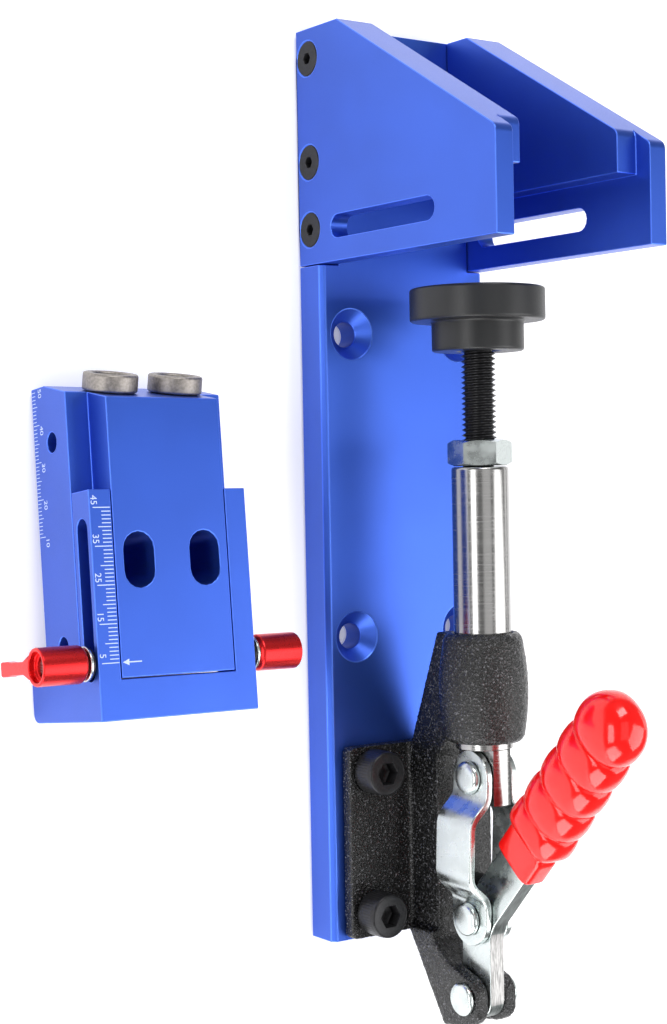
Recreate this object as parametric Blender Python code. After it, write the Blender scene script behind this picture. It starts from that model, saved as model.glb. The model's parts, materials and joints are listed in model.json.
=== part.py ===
"""Pocket-hole drill guide: a wall station with a push-pull clamp, and its guide block lying beside it.

The station lies on its back. +X runs across it, +Y along it towards the cheeks and +Z out of its face.
It is built from the foot of its back plate, which lies on z = 0, and then moved so that the origin is
the middle of the plate's four mounting holes.
Lengths are in metres and angles in radians.
"""
from math import asin, atan2, cos, pi, radians, sin, sqrt, tan

import bmesh
import bpy
from mathutils import Matrix, Vector

# Clearance between two pieces that touch, or that slide or turn on each other
GAP = 0.0003

# Back plate
PLATE_WIDTH = 0.061
PLATE_THICK = 0.011
PLATE_CHAMFER = 0.0014
MOUNT_HOLE_X = 0.020
MOUNT_HOLES_Y = (0.0896, 0.1790)
MOUNT_BORE = 0.0075
MOUNT_SINK = 0.0150

# Cheeks, with sizes measured from their lower edge and from the plate's back
CHEEK_LOW = 0.1993
CHEEK_HEIGHT = 0.0690
CHEEK_DEPTH = 0.0904
CHEEK_WALL = 0.0060
CHEEK_TOP_FLAT = 0.0207
CHEEK_FRONT_HEIGHT = 0.0281
CHEEK_CORNER = 0.0030
RAIL_WALL = 0.0070
RAIL_RISE = 0.0198
RAIL_SETBACK = 0.0055
SLOT_WIDTH = 0.0066
SLOT_RISE = 0.0100
SLOT_START = 0.0161
SLOT_END = 0.0645

# Countersunk screws that hold the cheeks
CHEEK_SCREW_RISES = (0.0103, 0.0300, 0.0603)
CHEEK_SCREW_SHANK = 0.0050
CHEEK_SCREW_HEAD = 0.0100
CHEEK_SCREW_LENGTH = 0.0160
CHEEK_SCREW_KEY = 0.0030

# Cast clamp body
AXIS_RISE = 0.0340
FLANGE_HALF_WIDTH = 0.0267
FLANGE_LOW = 0.0009
FLANGE_HIGH = 0.0576
FLANGE_THICK = 0.0042
FLANGE_CORNER = 0.0020
WEB_HALF = 0.0046
WEB_RISE = 0.0176
TAIL_HALF = 0.0074
BARREL_LOW = 0.0604
BARREL_HIGH = 0.0919
BARREL_ENDS = (0.0117, 0.0113)
BARREL_MIDDLE = 0.0129
BARREL_EDGE = 0.0014

# Cap screws in the flange
FLANGE_SCREW_X = 0.0189
FLANGE_SCREWS_Y = (0.0084, 0.0502)
CAP_SHANK = 0.0080
CAP_HEAD = 0.0130
CAP_KEY = 0.0060

# Plunger, spindle, nut and pad
PLUNGER_RADIUS = 0.00825
PLUNGER_HIGH = 0.1392
TONGUE_HALF = 0.0032
TONGUE_HIGH = 0.0660
SPINDLE_RADIUS = 0.0049
SPINDLE_REACH = 0.0260
NUT_FLATS = 0.0160
NUT_HEIGHT = 0.0074
NUT_TURN = radians(-39.5)
PAD_RADIUS = 0.0194
PAD_LOW = 0.1797
PAD_HIGH = 0.1902
HUB_RADIUS = 0.0129
HUB_LOW = 0.1722

# Linkage: tail pivot, elbow pivot and plunger pivot, in Y, and their height over the plate
TAIL_Y = -0.0136
ELBOW_Y = 0.0092
PLUNGER_PIVOT_Y = 0.0504
LINK_RISE = 0.0318
PIN_RADIUS = 0.0030
RIVET_HEAD = 0.0048
RIVET_DOME = 0.0015
STRAP_THICK = 0.0022
STRAP_HALF_WIDTH = 0.0077
STRAP_BULGE = 0.0094

# Handle and grip
BAR_HALF = 0.0026
ARM_HALF_WIDTH = 0.0063
HANDLE_BEND = radians(42)
HANDLE_START = (0.0135, 0.0363)
BAR_LENGTH = 0.0760
GRIP_FROM = 0.0187
GRIP_TO = 0.0854
GRIP_HALF_WIDTH = 0.0105
GRIP_HALF_THICK = 0.0084
GRIP_BULGES = (0.0341, 0.0443, 0.0545, 0.0648, 0.0751)
COLLAR_HALF_WIDTH = 0.0079
COLLAR_HALF_THICK = 0.0044
COLLAR_LENGTH = 0.0100

# Guide block, in its own frame: the back of its flange is z = 0 and its lower end y = 0
BLOCK_LENGTH = 0.0788
BLOCK_HALF_WIDTH = 0.02365
BLOCK_FLANGE = 0.0195
RIDGE_HALF_WIDTH = 0.0170
RIDGE_HEIGHT = 0.0098
BLOCK_TOP_FLAT = 0.0074
DRILL_ANGLE = radians(15)
DRILL_BORE = 0.0097
DRILL_X = 0.0099
DRILL_DEPTH = 0.0187
BUSH_RADIUS = 0.0062
BUSH_COLLAR = 0.0074
BUSH_COLLAR_HEIGHT = 0.0048
BUSH_LENGTH = 0.0200
WINDOW_WIDTH = 0.0090
WINDOW_HEIGHT = 0.0146
WINDOW_Y = 0.0303
SIDE_HOLE = 0.0054
SIDE_HOLE_DEPTH = 0.0060
SIDE_HOLES_Y = (0.0090, 0.0632)
SIDE_HOLE_Z = 0.0104

# Slide frame on the block, and the levers that lock it
FRAME_HEIGHT = 0.0487
FRAME_BAR = 0.0105
FRAME_LIP = 0.0096
FRAME_CORNER = 0.0025
FRAME_SLOT_WIDTH = 0.0056
FRAME_SLOT_START = -0.0005
FRAME_SLOT_WALL = 0.0072
STUD_Y = 0.0042
STUD_RADIUS = 0.0025
STUD_DEPTH = 0.0075
WASHER_RADIUS = 0.0046
WASHER_THICK = 0.0016
KNOB_RADIUS = 0.0050
KNOB_LENGTH = 0.0132
KNOB_RECESS = 0.0040
LEVER_LENGTH = 0.0204
LEVER_HALF_WIDTH = 0.0020
LEVER_THICK = 0.0026

# Where the block lies
BLOCK_PLACE = (-0.0965, 0.0835)
BLOCK_TURN = radians(-0.85)

# Places worked out from the sizes above
PLATE_HALF = PLATE_WIDTH / 2
NECK_HALF = PLATE_HALF - CHEEK_WALL - GAP
CHEEK_TOP = CHEEK_LOW + CHEEK_HEIGHT
FLANGE_BASE = PLATE_THICK + GAP
FLANGE_FACE = FLANGE_BASE + FLANGE_THICK
AXIS_Z = PLATE_THICK + AXIS_RISE
LINK_Z = PLATE_THICK + LINK_RISE
WEB_FRONT = PLATE_THICK + WEB_RISE
BORE_RADIUS = PLUNGER_RADIUS + GAP
ELBOW_INNER = BAR_HALF + GAP
TONGUE_INNER = TONGUE_HALF + GAP
LINK_LENGTH = sqrt((PLUNGER_PIVOT_Y - ELBOW_Y) ** 2 + (AXIS_Z - LINK_Z) ** 2)
LINK_TILT = atan2(AXIS_Z - LINK_Z, PLUNGER_PIVOT_Y - ELBOW_Y)
BLOCK_DEPTH = BLOCK_FLANGE + RIDGE_HEIGHT
STUD_Z = (BLOCK_FLANGE + GAP + BLOCK_DEPTH) / 2
FRAME_INNER = RIDGE_HALF_WIDTH + GAP
BLOCK_TILT = atan2(FRAME_LIP, BLOCK_LENGTH + FRAME_BAR + GAP - FRAME_CORNER)
BLOCK_LIFT = BLOCK_LENGTH * sin(BLOCK_TILT)

ROUND = 40
SMALL_ROUND = 20


def clear_scene():
    for thing in list(bpy.data.objects):
        bpy.data.objects.remove(thing, do_unlink=True)


def finish(name, colour, roughness, metallic):
    """Material of one sub-part, with its linear base colour."""
    made = bpy.data.materials.new(name + "_finish")
    made.use_nodes = True
    shader = made.node_tree.nodes["Principled BSDF"]
    shader.inputs["Base Color"].default_value = (*colour, 1.0)
    shader.inputs["Roughness"].default_value = roughness
    shader.inputs["Metallic"].default_value = metallic
    made.diffuse_color = (*colour, 1.0)
    return made


BLUE = ((0.035, 0.09, 0.62), 0.35, 0.8)
CAST_BLACK = ((0.02, 0.02, 0.02), 0.6, 0.2)
OXIDE_BLACK = ((0.03, 0.03, 0.035), 0.45, 0.6)
STEEL = ((0.55, 0.54, 0.52), 0.3, 1.0)
ZINC = ((0.72, 0.75, 0.76), 0.28, 1.0)
PLASTIC_BLACK = ((0.03, 0.03, 0.033), 0.5, 0.0)
VINYL_RED = ((0.85, 0.03, 0.02), 0.25, 0.0)
ANODISED_RED = ((0.65, 0.02, 0.02), 0.3, 0.8)


def add_object(name, shape, parent=None):
    """Object made from a bmesh, which is freed, under the empty that carries it."""
    bmesh.ops.recalc_face_normals(shape, faces=shape.faces)
    mesh = bpy.data.meshes.new(name)
    shape.to_mesh(mesh)
    shape.free()
    thing = bpy.data.objects.new(name, mesh)
    bpy.context.scene.collection.objects.link(thing)
    if parent is not None:
        thing.parent = parent
        thing.matrix_parent_inverse = Matrix.Translation(-parent.location)
    return thing


def piece(name, shape, look, parent=None):
    """One sub-part with its own material, shaded smooth except at its sharp edges."""
    thing = add_object(name, shape, parent)
    thing.data.materials.append(finish(name, *look))
    thing.data.shade_smooth()
    thing.data.set_sharp_from_angle(angle=radians(35))
    return thing


def combine(target, shapes, operation, overlapping=False):
    """Boolean of a piece with shapes, which stay as one hidden wire object under the same parent."""
    whole = bmesh.new()
    for shape in shapes:
        bmesh.ops.recalc_face_normals(shape, faces=shape.faces)
        mesh = bpy.data.meshes.new("tool")
        shape.to_mesh(mesh)
        shape.free()
        whole.from_mesh(mesh)
        bpy.data.meshes.remove(mesh)
    tool = add_object(target.name + "_" + operation.lower(), whole, target.parent)
    tool.hide_render = True
    tool.display_type = "WIRE"
    change = target.modifiers.new(operation.title(), "BOOLEAN")
    change.operation = operation
    change.object = tool
    change.solver = "EXACT"
    change.use_self = overlapping
    return target


def cut(target, *shapes, overlapping=False):
    return combine(target, shapes, "DIFFERENCE", overlapping)


def join(target, *shapes):
    return combine(target, shapes, "UNION", overlapping=True)


def prism(outline, axis, low, high):
    """Solid of an outline pushed along X, Y or Z; the outline holds the other two coordinates in order."""
    place = {
        "X": lambda a, b, along: (along, a, b),
        "Y": lambda a, b, along: (a, along, b),
        "Z": lambda a, b, along: (a, b, along),
    }[axis]
    shape = bmesh.new()
    rings = [[shape.verts.new(place(a, b, along)) for a, b in outline] for along in (low, high)]
    shape.faces.new(rings[0])
    shape.faces.new(rings[1])
    for index in range(len(outline)):
        after = (index + 1) % len(outline)
        shape.faces.new((rings[0][index], rings[0][after], rings[1][after], rings[1][index]))
    return shape


def box(x, y, z):
    """Block between pairs of coordinates."""
    return prism([(x[0], y[0]), (x[1], y[0]), (x[1], y[1]), (x[0], y[1])], "Z", z[0], z[1])


def arc(centre, radius, start, end, steps):
    """Points on a circle between two angles."""
    return [
        (centre[0] + radius * cos(start + (end - start) * k / steps),
         centre[1] + radius * sin(start + (end - start) * k / steps))
        for k in range(steps + 1)
    ]


def rounded(corners, steps=5):
    """Outline through (a, b, radius) corners, each turned with its radius."""
    outline = []
    for index, (a, b, radius) in enumerate(corners):
        here = Vector((a, b))
        if radius == 0:
            outline.append((a, b))
            continue
        before = Vector(corners[index - 1][:2]) - here
        after = Vector(corners[(index + 1) % len(corners)][:2]) - here
        half = before.angle(after) / 2
        start = here + before.normalized() * (radius / tan(half))
        end = here + after.normalized() * (radius / tan(half))
        centre = here + (before.normalized() + after.normalized()).normalized() * (radius / sin(half))
        first = atan2(start.y - centre.y, start.x - centre.x)
        sweep = (atan2(end.y - centre.y, end.x - centre.x) - first + pi) % (2 * pi) - pi
        outline += arc(centre, radius, first, first + sweep, steps)
    return outline


def stadium(start, end, radius, steps=8):
    """Outline of a slot with round ends between two centres."""
    lean = atan2(end[1] - start[1], end[0] - start[0])
    first = arc(start, radius, lean + pi / 2, lean + 3 * pi / 2, steps)
    return first + arc(end, radius, lean - pi / 2, lean + pi / 2, steps)


def turned(profile, matrix, steps=ROUND):
    """Solid of revolution: (radius, height) points about the matrix's own Z axis, as a closed outline."""
    shape = bmesh.new()
    rings = []
    for radius, height in profile:
        count = steps if radius > 0 else 1
        turns = [2 * pi * k / steps for k in range(count)]
        rings.append([shape.verts.new((radius * cos(turn), radius * sin(turn), height)) for turn in turns])
    for ring, after in zip(rings, rings[1:] + rings[:1]):
        if len(ring) == 1 and len(after) == 1:
            continue
        for k in range(steps):
            corners = [ring[k % len(ring)], ring[(k + 1) % len(ring)]]
            corners += [after[(k + 1) % len(after)], after[k % len(after)]]
            shape.faces.new(list(dict.fromkeys(corners)))
    bmesh.ops.transform(shape, matrix=matrix, verts=shape.verts)
    return shape


def rod(radius, start, end, steps=ROUND):
    """Plain cylinder between two points."""
    line = Vector(end) - Vector(start)
    turn = line.to_track_quat("Z", "Y").to_matrix().to_4x4()
    profile = [(0, 0), (radius, 0), (radius, line.length), (0, line.length)]
    return turned(profile, Matrix.Translation(start) @ turn, steps)


def hexagon(flats, start, end, turn=0.0):
    """Hexagonal prism between two points, given by its width across flats."""
    line = Vector(end) - Vector(start)
    matrix = Matrix.Translation(start) @ line.to_track_quat("Z", "Y").to_matrix().to_4x4()
    shape = rod(flats / sqrt(3), (0, 0, 0), (0, 0, line.length), 6)
    bmesh.ops.transform(shape, matrix=matrix @ Matrix.Rotation(turn, 4, "Z"), verts=shape.verts)
    return shape


def along_x(side, x=0.0, y=0.0, z=0.0):
    """Matrix whose own Z axis points out to one side along X."""
    return Matrix.Translation((x, y, z)) @ Matrix.Rotation(side * pi / 2, 4, "Y")


def along_y(y=0.0):
    """Matrix whose own Z axis is the plunger's axis."""
    return Matrix.Translation((0, y, AXIS_Z)) @ Matrix.Rotation(-pi / 2, 4, "X")


def pivot(name, place, parent=None):
    """Empty on a joint's axis; its pieces keep the coordinates that they are built in."""
    thing = bpy.data.objects.new(name, None)
    thing.parent = parent
    thing.location = place
    bpy.context.scene.collection.objects.link(thing)
    return thing


def countersink(bore, sink, depth):
    """Cutter profile of a hole from height 0 down, with a 90 degree mouth."""
    mouth = (sink - bore) / 2
    return [(0, GAP), (sink / 2 + GAP, GAP), (bore / 2, -mouth), (bore / 2, -depth), (0, -depth)]


def base_plate():
    """Plate with its narrow neck between the cheeks, four countersunk holes and the screw holes."""
    edge = PLATE_HALF - PLATE_CHAMFER
    shoulder = PLATE_THICK - PLATE_CHAMFER
    section = [(-PLATE_HALF, 0), (PLATE_HALF, 0), (PLATE_HALF, shoulder)]
    section += [(edge, PLATE_THICK), (-edge, PLATE_THICK), (-PLATE_HALF, shoulder)]
    plate = piece("base_plate", prism(section, "Y", 0, CHEEK_LOW - GAP), BLUE)
    join(plate, box((-NECK_HALF, NECK_HALF), (CHEEK_LOW - 2 * PLATE_THICK, CHEEK_TOP), (0, PLATE_THICK)))
    holes = []
    for x in (-MOUNT_HOLE_X, MOUNT_HOLE_X):
        for y in MOUNT_HOLES_Y:
            profile = countersink(MOUNT_BORE, MOUNT_SINK, PLATE_THICK + GAP)
            holes.append(turned(profile, Matrix.Translation((x, y, PLATE_THICK))))
    for x in (-FLANGE_SCREW_X, FLANGE_SCREW_X):
        for y in FLANGE_SCREWS_Y:
            holes.append(rod(CAP_SHANK / 2 + GAP, (x, y, -GAP), (x, y, PLATE_THICK + GAP), SMALL_ROUND))
    deep = PLATE_HALF - CHEEK_SCREW_LENGTH - GAP
    for side in (-1, 1):
        for rise in CHEEK_SCREW_RISES:
            start = (side * deep, CHEEK_LOW + rise, PLATE_THICK / 2)
            end = (side * PLATE_HALF, CHEEK_LOW + rise, PLATE_THICK / 2)
            holes.append(rod(CHEEK_SCREW_SHANK / 2 + GAP, start, end, SMALL_ROUND))
    cut(plate, *holes)


def cheek_outline(back, front, low):
    """Side view of a cheek from its back to its front edge, under one shared sloping top."""
    drop = (CHEEK_HEIGHT - CHEEK_FRONT_HEIGHT) / (CHEEK_DEPTH - CHEEK_TOP_FLAT)
    front_top = CHEEK_TOP - (front - CHEEK_TOP_FLAT) * drop
    corners = [(low, back, 0), (low, front, 0), (front_top, front, CHEEK_CORNER)]
    corners += [(CHEEK_TOP, CHEEK_TOP_FLAT, 0), (CHEEK_TOP, back, 0)]
    return rounded(corners)


def cheek(name, side):
    """Side wall with a slot, and the thicker rail that the block's ridge runs between."""
    outer = side * PLATE_HALF
    inner = side * (PLATE_HALF - CHEEK_WALL)
    wall = prism(cheek_outline(0, CHEEK_DEPTH, CHEEK_LOW), "X", *sorted((outer, inner)))
    made = piece(name, wall, BLUE)
    rail_face = inner - side * RAIL_WALL
    front = CHEEK_DEPTH - RAIL_SETBACK
    outline = cheek_outline(PLATE_THICK + GAP, front, CHEEK_LOW + RAIL_RISE)
    join(made, prism(outline, "X", *sorted((rail_face, inner + side * CHEEK_WALL / 2))))
    slot_y = CHEEK_LOW + SLOT_RISE
    half = SLOT_WIDTH / 2
    slot = stadium((slot_y, SLOT_START + half), (slot_y, SLOT_END - half), half)
    tools = [prism(slot, "X", *sorted((inner - side * GAP, outer + side * GAP)))]
    for rise in CHEEK_SCREW_RISES:
        sink = CHEEK_SCREW_HEAD + 2 * GAP
        profile = countersink(CHEEK_SCREW_SHANK + 2 * GAP, sink, CHEEK_WALL + GAP)
        tools.append(turned(profile, along_x(side, outer, CHEEK_LOW + rise, PLATE_THICK / 2), SMALL_ROUND))
    cut(made, *tools)


def cheek_screw(name, side, rise):
    """Countersunk socket screw, flush with the cheek."""
    radius = CHEEK_SCREW_SHANK / 2
    head = CHEEK_SCREW_HEAD / 2
    neck = head - radius
    profile = [(0, 0), (head, 0), (head, -GAP), (radius, -neck - GAP), (radius, -CHEEK_SCREW_LENGTH)]
    profile.append((0, -CHEEK_SCREW_LENGTH))
    place = along_x(side, side * PLATE_HALF, CHEEK_LOW + rise, PLATE_THICK / 2)
    made = piece(name, turned(profile, place, SMALL_ROUND), OXIDE_BLACK)
    socket = hexagon(CHEEK_SCREW_KEY, (0, 0, -head / 2), (0, 0, GAP))
    bmesh.ops.transform(socket, matrix=place, verts=socket.verts)
    cut(made, socket)


def tail_outline():
    """Side view of the fork that carries the handle, from the flange's foot down round the tail pivot."""
    heel = FLANGE_BASE + 0.0052
    ear = STRAP_HALF_WIDTH + 0.0020
    front = LINK_Z + 0.0060
    return rounded([
        (FLANGE_LOW + 0.0022, heel, 0),
        (TAIL_Y - ear, LINK_Z - ear, 0.0010),
        (TAIL_Y - 0.0070, front, 0.0055),
        (TAIL_Y + 0.0045, front, 0.0055),
        (TAIL_Y + 0.0088, LINK_Z - ARM_HALF_WIDTH - 0.0005, 0.0030),
        (FLANGE_LOW, WEB_FRONT, 0.0030),
        (FLANGE_LOW + 0.0022, WEB_FRONT, 0),
    ])


def web_outline():
    """Side view of the rib between flange and barrel, with its sloping back above the flange."""
    inside = AXIS_Z - BORE_RADIUS - 0.0014
    shoulder = AXIS_Z - BARREL_MIDDLE - 0.0028
    return [
        (FLANGE_LOW, FLANGE_FACE - 0.0010),
        (FLANGE_HIGH - 0.0004, FLANGE_FACE - 0.0010),
        (FLANGE_HIGH, FLANGE_FACE + 0.0006),
        (BARREL_HIGH - 0.0006, shoulder),
        (BARREL_HIGH - 0.0010, inside),
        (BARREL_LOW + 0.0004, inside),
        (BARREL_LOW - 0.0060, WEB_FRONT),
        (FLANGE_LOW, WEB_FRONT),
    ]


def barrel_profile():
    """Outer and inner outline of the barrel, a little fuller in the middle."""
    low, high = BARREL_ENDS
    length = BARREL_HIGH - BARREL_LOW
    outer = [(low - BARREL_EDGE, 0), (low, BARREL_EDGE)]
    for k in range(1, 8):
        share = k / 8
        straight = low + (high - low) * share
        bulge = (BARREL_MIDDLE - (low + high) / 2) * sin(pi * share)
        outer.append((straight + bulge, BARREL_EDGE + (length - 2 * BARREL_EDGE) * share))
    outer += [(high, length - BARREL_EDGE), (high - BARREL_EDGE, length)]
    return outer + [(BORE_RADIUS, length), (BORE_RADIUS, 0)]


def clamp_body():
    """Casting: flange, rib, barrel with its bore, and the fork for the handle."""
    corner = FLANGE_CORNER
    half = FLANGE_HALF_WIDTH
    flange = rounded([(-half, FLANGE_LOW, corner), (half, FLANGE_LOW, corner),
                      (half, FLANGE_HIGH, corner), (-half, FLANGE_HIGH, corner)])
    made = piece("clamp_body", prism(flange, "Z", FLANGE_BASE, FLANGE_FACE), CAST_BLACK)
    join(made, prism(web_outline(), "X", -WEB_HALF, WEB_HALF))
    join(made, prism(tail_outline(), "X", -TAIL_HALF, TAIL_HALF))
    join(made, turned(barrel_profile(), along_y(BARREL_LOW)))
    holes = []
    for x in (-FLANGE_SCREW_X, FLANGE_SCREW_X):
        for y in FLANGE_SCREWS_Y:
            start = (x, y, FLANGE_BASE - GAP)
            holes.append(rod(CAP_SHANK / 2 + GAP, start, (x, y, FLANGE_FACE + GAP), SMALL_ROUND))
    reach = 2 * STRAP_HALF_WIDTH
    slot = ((-BAR_HALF - GAP, BAR_HALF + GAP), (TAIL_Y - reach, FLANGE_LOW + reach),
            (LINK_Z - ARM_HALF_WIDTH - GAP, LINK_Z + reach))
    holes.append(box(*slot))
    cut(made, *holes)
    ends = [(side * (TAIL_HALF + GAP), TAIL_Y, LINK_Z) for side in (-1, 1)]
    cut(made, rod(PIN_RADIUS + GAP, *ends, SMALL_ROUND))


def flange_screw(name, x, y):
    """Socket cap screw through the flange into the plate."""
    radius = CAP_SHANK / 2
    head = CAP_HEAD / 2
    seat = FLANGE_FACE + GAP
    top = seat + CAP_SHANK
    edge = 0.0007
    profile = [(0, 2 * edge), (radius, 2 * edge), (radius, seat), (head, seat)]
    profile += [(head, top - edge), (head - edge, top), (0, top)]
    made = piece(name, turned(profile, Matrix.Translation((x, y, 0)), SMALL_ROUND), OXIDE_BLACK)
    cut(made, hexagon(CAP_KEY, (x, y, top - CAP_SHANK / 2), (x, y, top + GAP)))


def plunger(carrier):
    """Round bar, threaded inside at the front and milled to a tongue at the tail."""
    tail = PLUNGER_PIVOT_Y - STRAP_HALF_WIDTH
    edge = 0.0008
    length = PLUNGER_HIGH - tail
    hole = SPINDLE_RADIUS + GAP
    depth = SPINDLE_REACH + 2 * GAP
    profile = [(0, 0), (PLUNGER_RADIUS, 0), (PLUNGER_RADIUS, length - edge), (PLUNGER_RADIUS - edge, length)]
    profile += [(hole, length), (hole, length - depth), (0, length - depth)]
    made = piece("plunger", turned(profile, along_y(tail)), STEEL, carrier)
    reach = 2 * PLUNGER_RADIUS
    sides = []
    for side in (-1, 1):
        x = sorted((side * TONGUE_HALF, side * reach))
        sides.append(box(x, (tail - GAP, TONGUE_HIGH), (AXIS_Z - reach, AXIS_Z + reach)))
    ends = [(side * (TONGUE_HALF - GAP), PLUNGER_PIVOT_Y, AXIS_Z) for side in (-1, 1)]
    cut(made, *sides)
    wide = [(side * PLUNGER_RADIUS, PLUNGER_PIVOT_Y, AXIS_Z) for side in (-1, 1)]
    cut(made, rod(PIN_RADIUS + GAP, *wide, SMALL_ROUND))
    piece("plunger_pin", rod(PIN_RADIUS, *ends, SMALL_ROUND), ZINC, carrier)


def spindle(carrier):
    """Threaded rod from the plunger into the pad's hub."""
    start = (0, PLUNGER_HIGH - SPINDLE_REACH, AXIS_Z)
    end = (0, PAD_LOW - GAP, AXIS_Z)
    piece("spindle", rod(SPINDLE_RADIUS, start, end, SMALL_ROUND), OXIDE_BLACK, carrier)


def lock_nut(carrier):
    """Hexagon nut with chamfered corners, run down onto the plunger."""
    low = PLUNGER_HIGH + GAP
    corner = NUT_FLATS / sqrt(3)
    crown = NUT_FLATS / 2 * 0.98
    bevel = (corner - crown) * tan(radians(30))
    nut = hexagon(NUT_FLATS, (0, low, AXIS_Z), (0, low + NUT_HEIGHT, AXIS_Z), NUT_TURN + pi / 2)
    made = piece("lock_nut", nut, ZINC, carrier)
    profile = [(crown, 0), (corner, bevel), (corner, NUT_HEIGHT - bevel), (crown, NUT_HEIGHT)]
    profile += [(SPINDLE_RADIUS + GAP, NUT_HEIGHT), (SPINDLE_RADIUS + GAP, 0)]
    combine(made, [turned(profile, along_y(low))], "INTERSECT")


def clamp_pad(carrier):
    """Round pad with its hub, on the spindle's end."""
    edge = 0.0007
    hole = SPINDLE_RADIUS + GAP
    hub = HUB_LOW - PAD_HIGH
    rim = PAD_LOW - PAD_HIGH
    profile = [(0, 0), (PAD_RADIUS - edge, 0), (PAD_RADIUS, -edge), (PAD_RADIUS, rim + edge / 2)]
    profile += [(PAD_RADIUS - edge / 2, rim), (HUB_RADIUS, rim), (HUB_RADIUS, hub + edge)]
    profile += [(HUB_RADIUS - edge, hub), (hole, hub), (hole, rim), (0, rim)]
    piece("clamp_pad", turned(profile, along_y(PAD_HIGH)), PLASTIC_BLACK, carrier)


def strap_path():
    """Inner face of a strap as (offset from the middle, place along the strap from the elbow)."""
    end = LINK_LENGTH + STRAP_HALF_WIDTH
    low = 0.15 * LINK_LENGTH
    high = 0.85 * LINK_LENGTH
    joggle = 0.0055
    return [
        (ELBOW_INNER, -STRAP_HALF_WIDTH),
        (ELBOW_INNER, low),
        (STRAP_BULGE, low + joggle),
        (STRAP_BULGE, high - joggle),
        (TONGUE_INNER, high),
        (TONGUE_INNER, end),
    ]


def thickened(path, thickness):
    """Outline of a bent strip: the path and its copy moved out by the thickness."""
    outer = []
    for index, point in enumerate(path):
        here = Vector(point)
        before = (here - Vector(path[index - 1])).normalized() if index else None
        after = (Vector(path[index + 1]) - here).normalized() if index + 1 < len(path) else None
        first = before or after
        second = after or before
        normal = (Vector((first.y, -first.x)) + Vector((second.y, -second.x))).normalized()
        stretch = normal.dot(Vector((first.y, -first.x)))
        moved = here + normal * (thickness / stretch)
        outer.append((moved.x, moved.y))
    return path + outer[::-1]


def link(name, side, carrier):
    """Bent strap between the elbow and the plunger, bowed out past the fork."""
    outline = [(side * offset, along) for offset, along in thickened(strap_path(), STRAP_THICK)]
    strip = prism(outline, "Z", -STRAP_HALF_WIDTH, STRAP_HALF_WIDTH)
    place = Matrix.Translation((0, ELBOW_Y, LINK_Z)) @ Matrix.Rotation(LINK_TILT, 4, "X")
    bmesh.ops.transform(strip, matrix=place, verts=strip.verts)
    made = piece(name, strip, ZINC, carrier)
    reach = side * 2 * (STRAP_BULGE + STRAP_THICK)
    ends = prism(stadium((0, 0), (LINK_LENGTH, 0), STRAP_HALF_WIDTH), "X", *sorted((0, reach)))
    bmesh.ops.transform(ends, matrix=place, verts=ends.verts)
    combine(made, [ends], "INTERSECT")
    holes = []
    for along in (0, LINK_LENGTH):
        hole = rod(PIN_RADIUS + GAP, (0, along, 0), (reach, along, 0), SMALL_ROUND)
        bmesh.ops.transform(hole, matrix=place, verts=hole.verts)
        holes.append(hole)
    cut(made, *holes)


def dome(seat):
    """Half profile of a rivet head from its seat out to the crown."""
    shape = [(1.0, 0.0), (0.97, 0.35), (0.80, 0.80), (0.55, 1.0), (0.0, 1.0)]
    return [(RIVET_HEAD * out, seat + RIVET_DOME * up) for out, up in shape]


def stub_rivet(name, side, carrier):
    """Rivet head outside a strap, with its shank ending at the strap's inner face."""
    seat = TONGUE_INNER + STRAP_THICK + GAP
    profile = [(0, TONGUE_INNER + GAP), (PIN_RADIUS, TONGUE_INNER + GAP), (PIN_RADIUS, seat)] + dome(seat)
    piece(name, turned(profile, along_x(side, 0, PLUNGER_PIVOT_Y, AXIS_Z), SMALL_ROUND), ZINC, carrier)


def through_rivet(name, y, seat, carrier=None):
    """Rivet with a head at each side, seated at the given distance from the middle."""
    half = [(PIN_RADIUS, seat)] + dome(seat)
    profile = half + [(radius, -height) for radius, height in half[::-1]]
    piece(name, turned(profile, along_x(1, 0, y, LINK_Z), SMALL_ROUND), ZINC, carrier)


def handle_frame():
    """Start of the handle's slanting part, its direction and the direction across it, in Y and Z."""
    start = Vector((HANDLE_START[0], PLATE_THICK + HANDLE_START[1]))
    ahead = Vector((cos(HANDLE_BEND), sin(HANDLE_BEND)))
    across = Vector((-sin(HANDLE_BEND), cos(HANDLE_BEND)))
    return start, ahead, across


def handle_bar(carrier):
    """Flat bar: a straight arm between the pivots, bent forward into the grip."""
    start, ahead, across = handle_frame()
    half = ARM_HALF_WIDTH
    front = start + across * half
    rear = start - across * half
    front_bend = (LINK_Z + half - front.y) / ahead.y
    rear_bend = (LINK_Z - half - rear.y) / ahead.y
    front_corner = front + ahead * front_bend
    rear_corner = rear + ahead * rear_bend
    front_end = front + ahead * BAR_LENGTH
    rear_end = rear + ahead * BAR_LENGTH
    outline = arc((TAIL_Y, LINK_Z), half, -pi / 2, -3 * pi / 2, 12)
    outline += rounded([
        (TAIL_Y, LINK_Z + half, 0),
        (*front_corner, 0.0015),
        (*front_end, 0.0020),
        (*rear_end, 0.0020),
        (*rear_corner, 0.0060),
        (TAIL_Y, LINK_Z - half, 0),
    ])[1:-1]
    made = piece("handle_bar", prism(outline, "X", -BAR_HALF, BAR_HALF), ZINC, carrier)
    holes = []
    for y in (TAIL_Y, ELBOW_Y):
        ends = [(side * 2 * BAR_HALF, y, LINK_Z) for side in (-1, 1)]
        holes.append(rod(PIN_RADIUS + GAP, *ends, SMALL_ROUND))
    cut(made, *holes)


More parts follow.
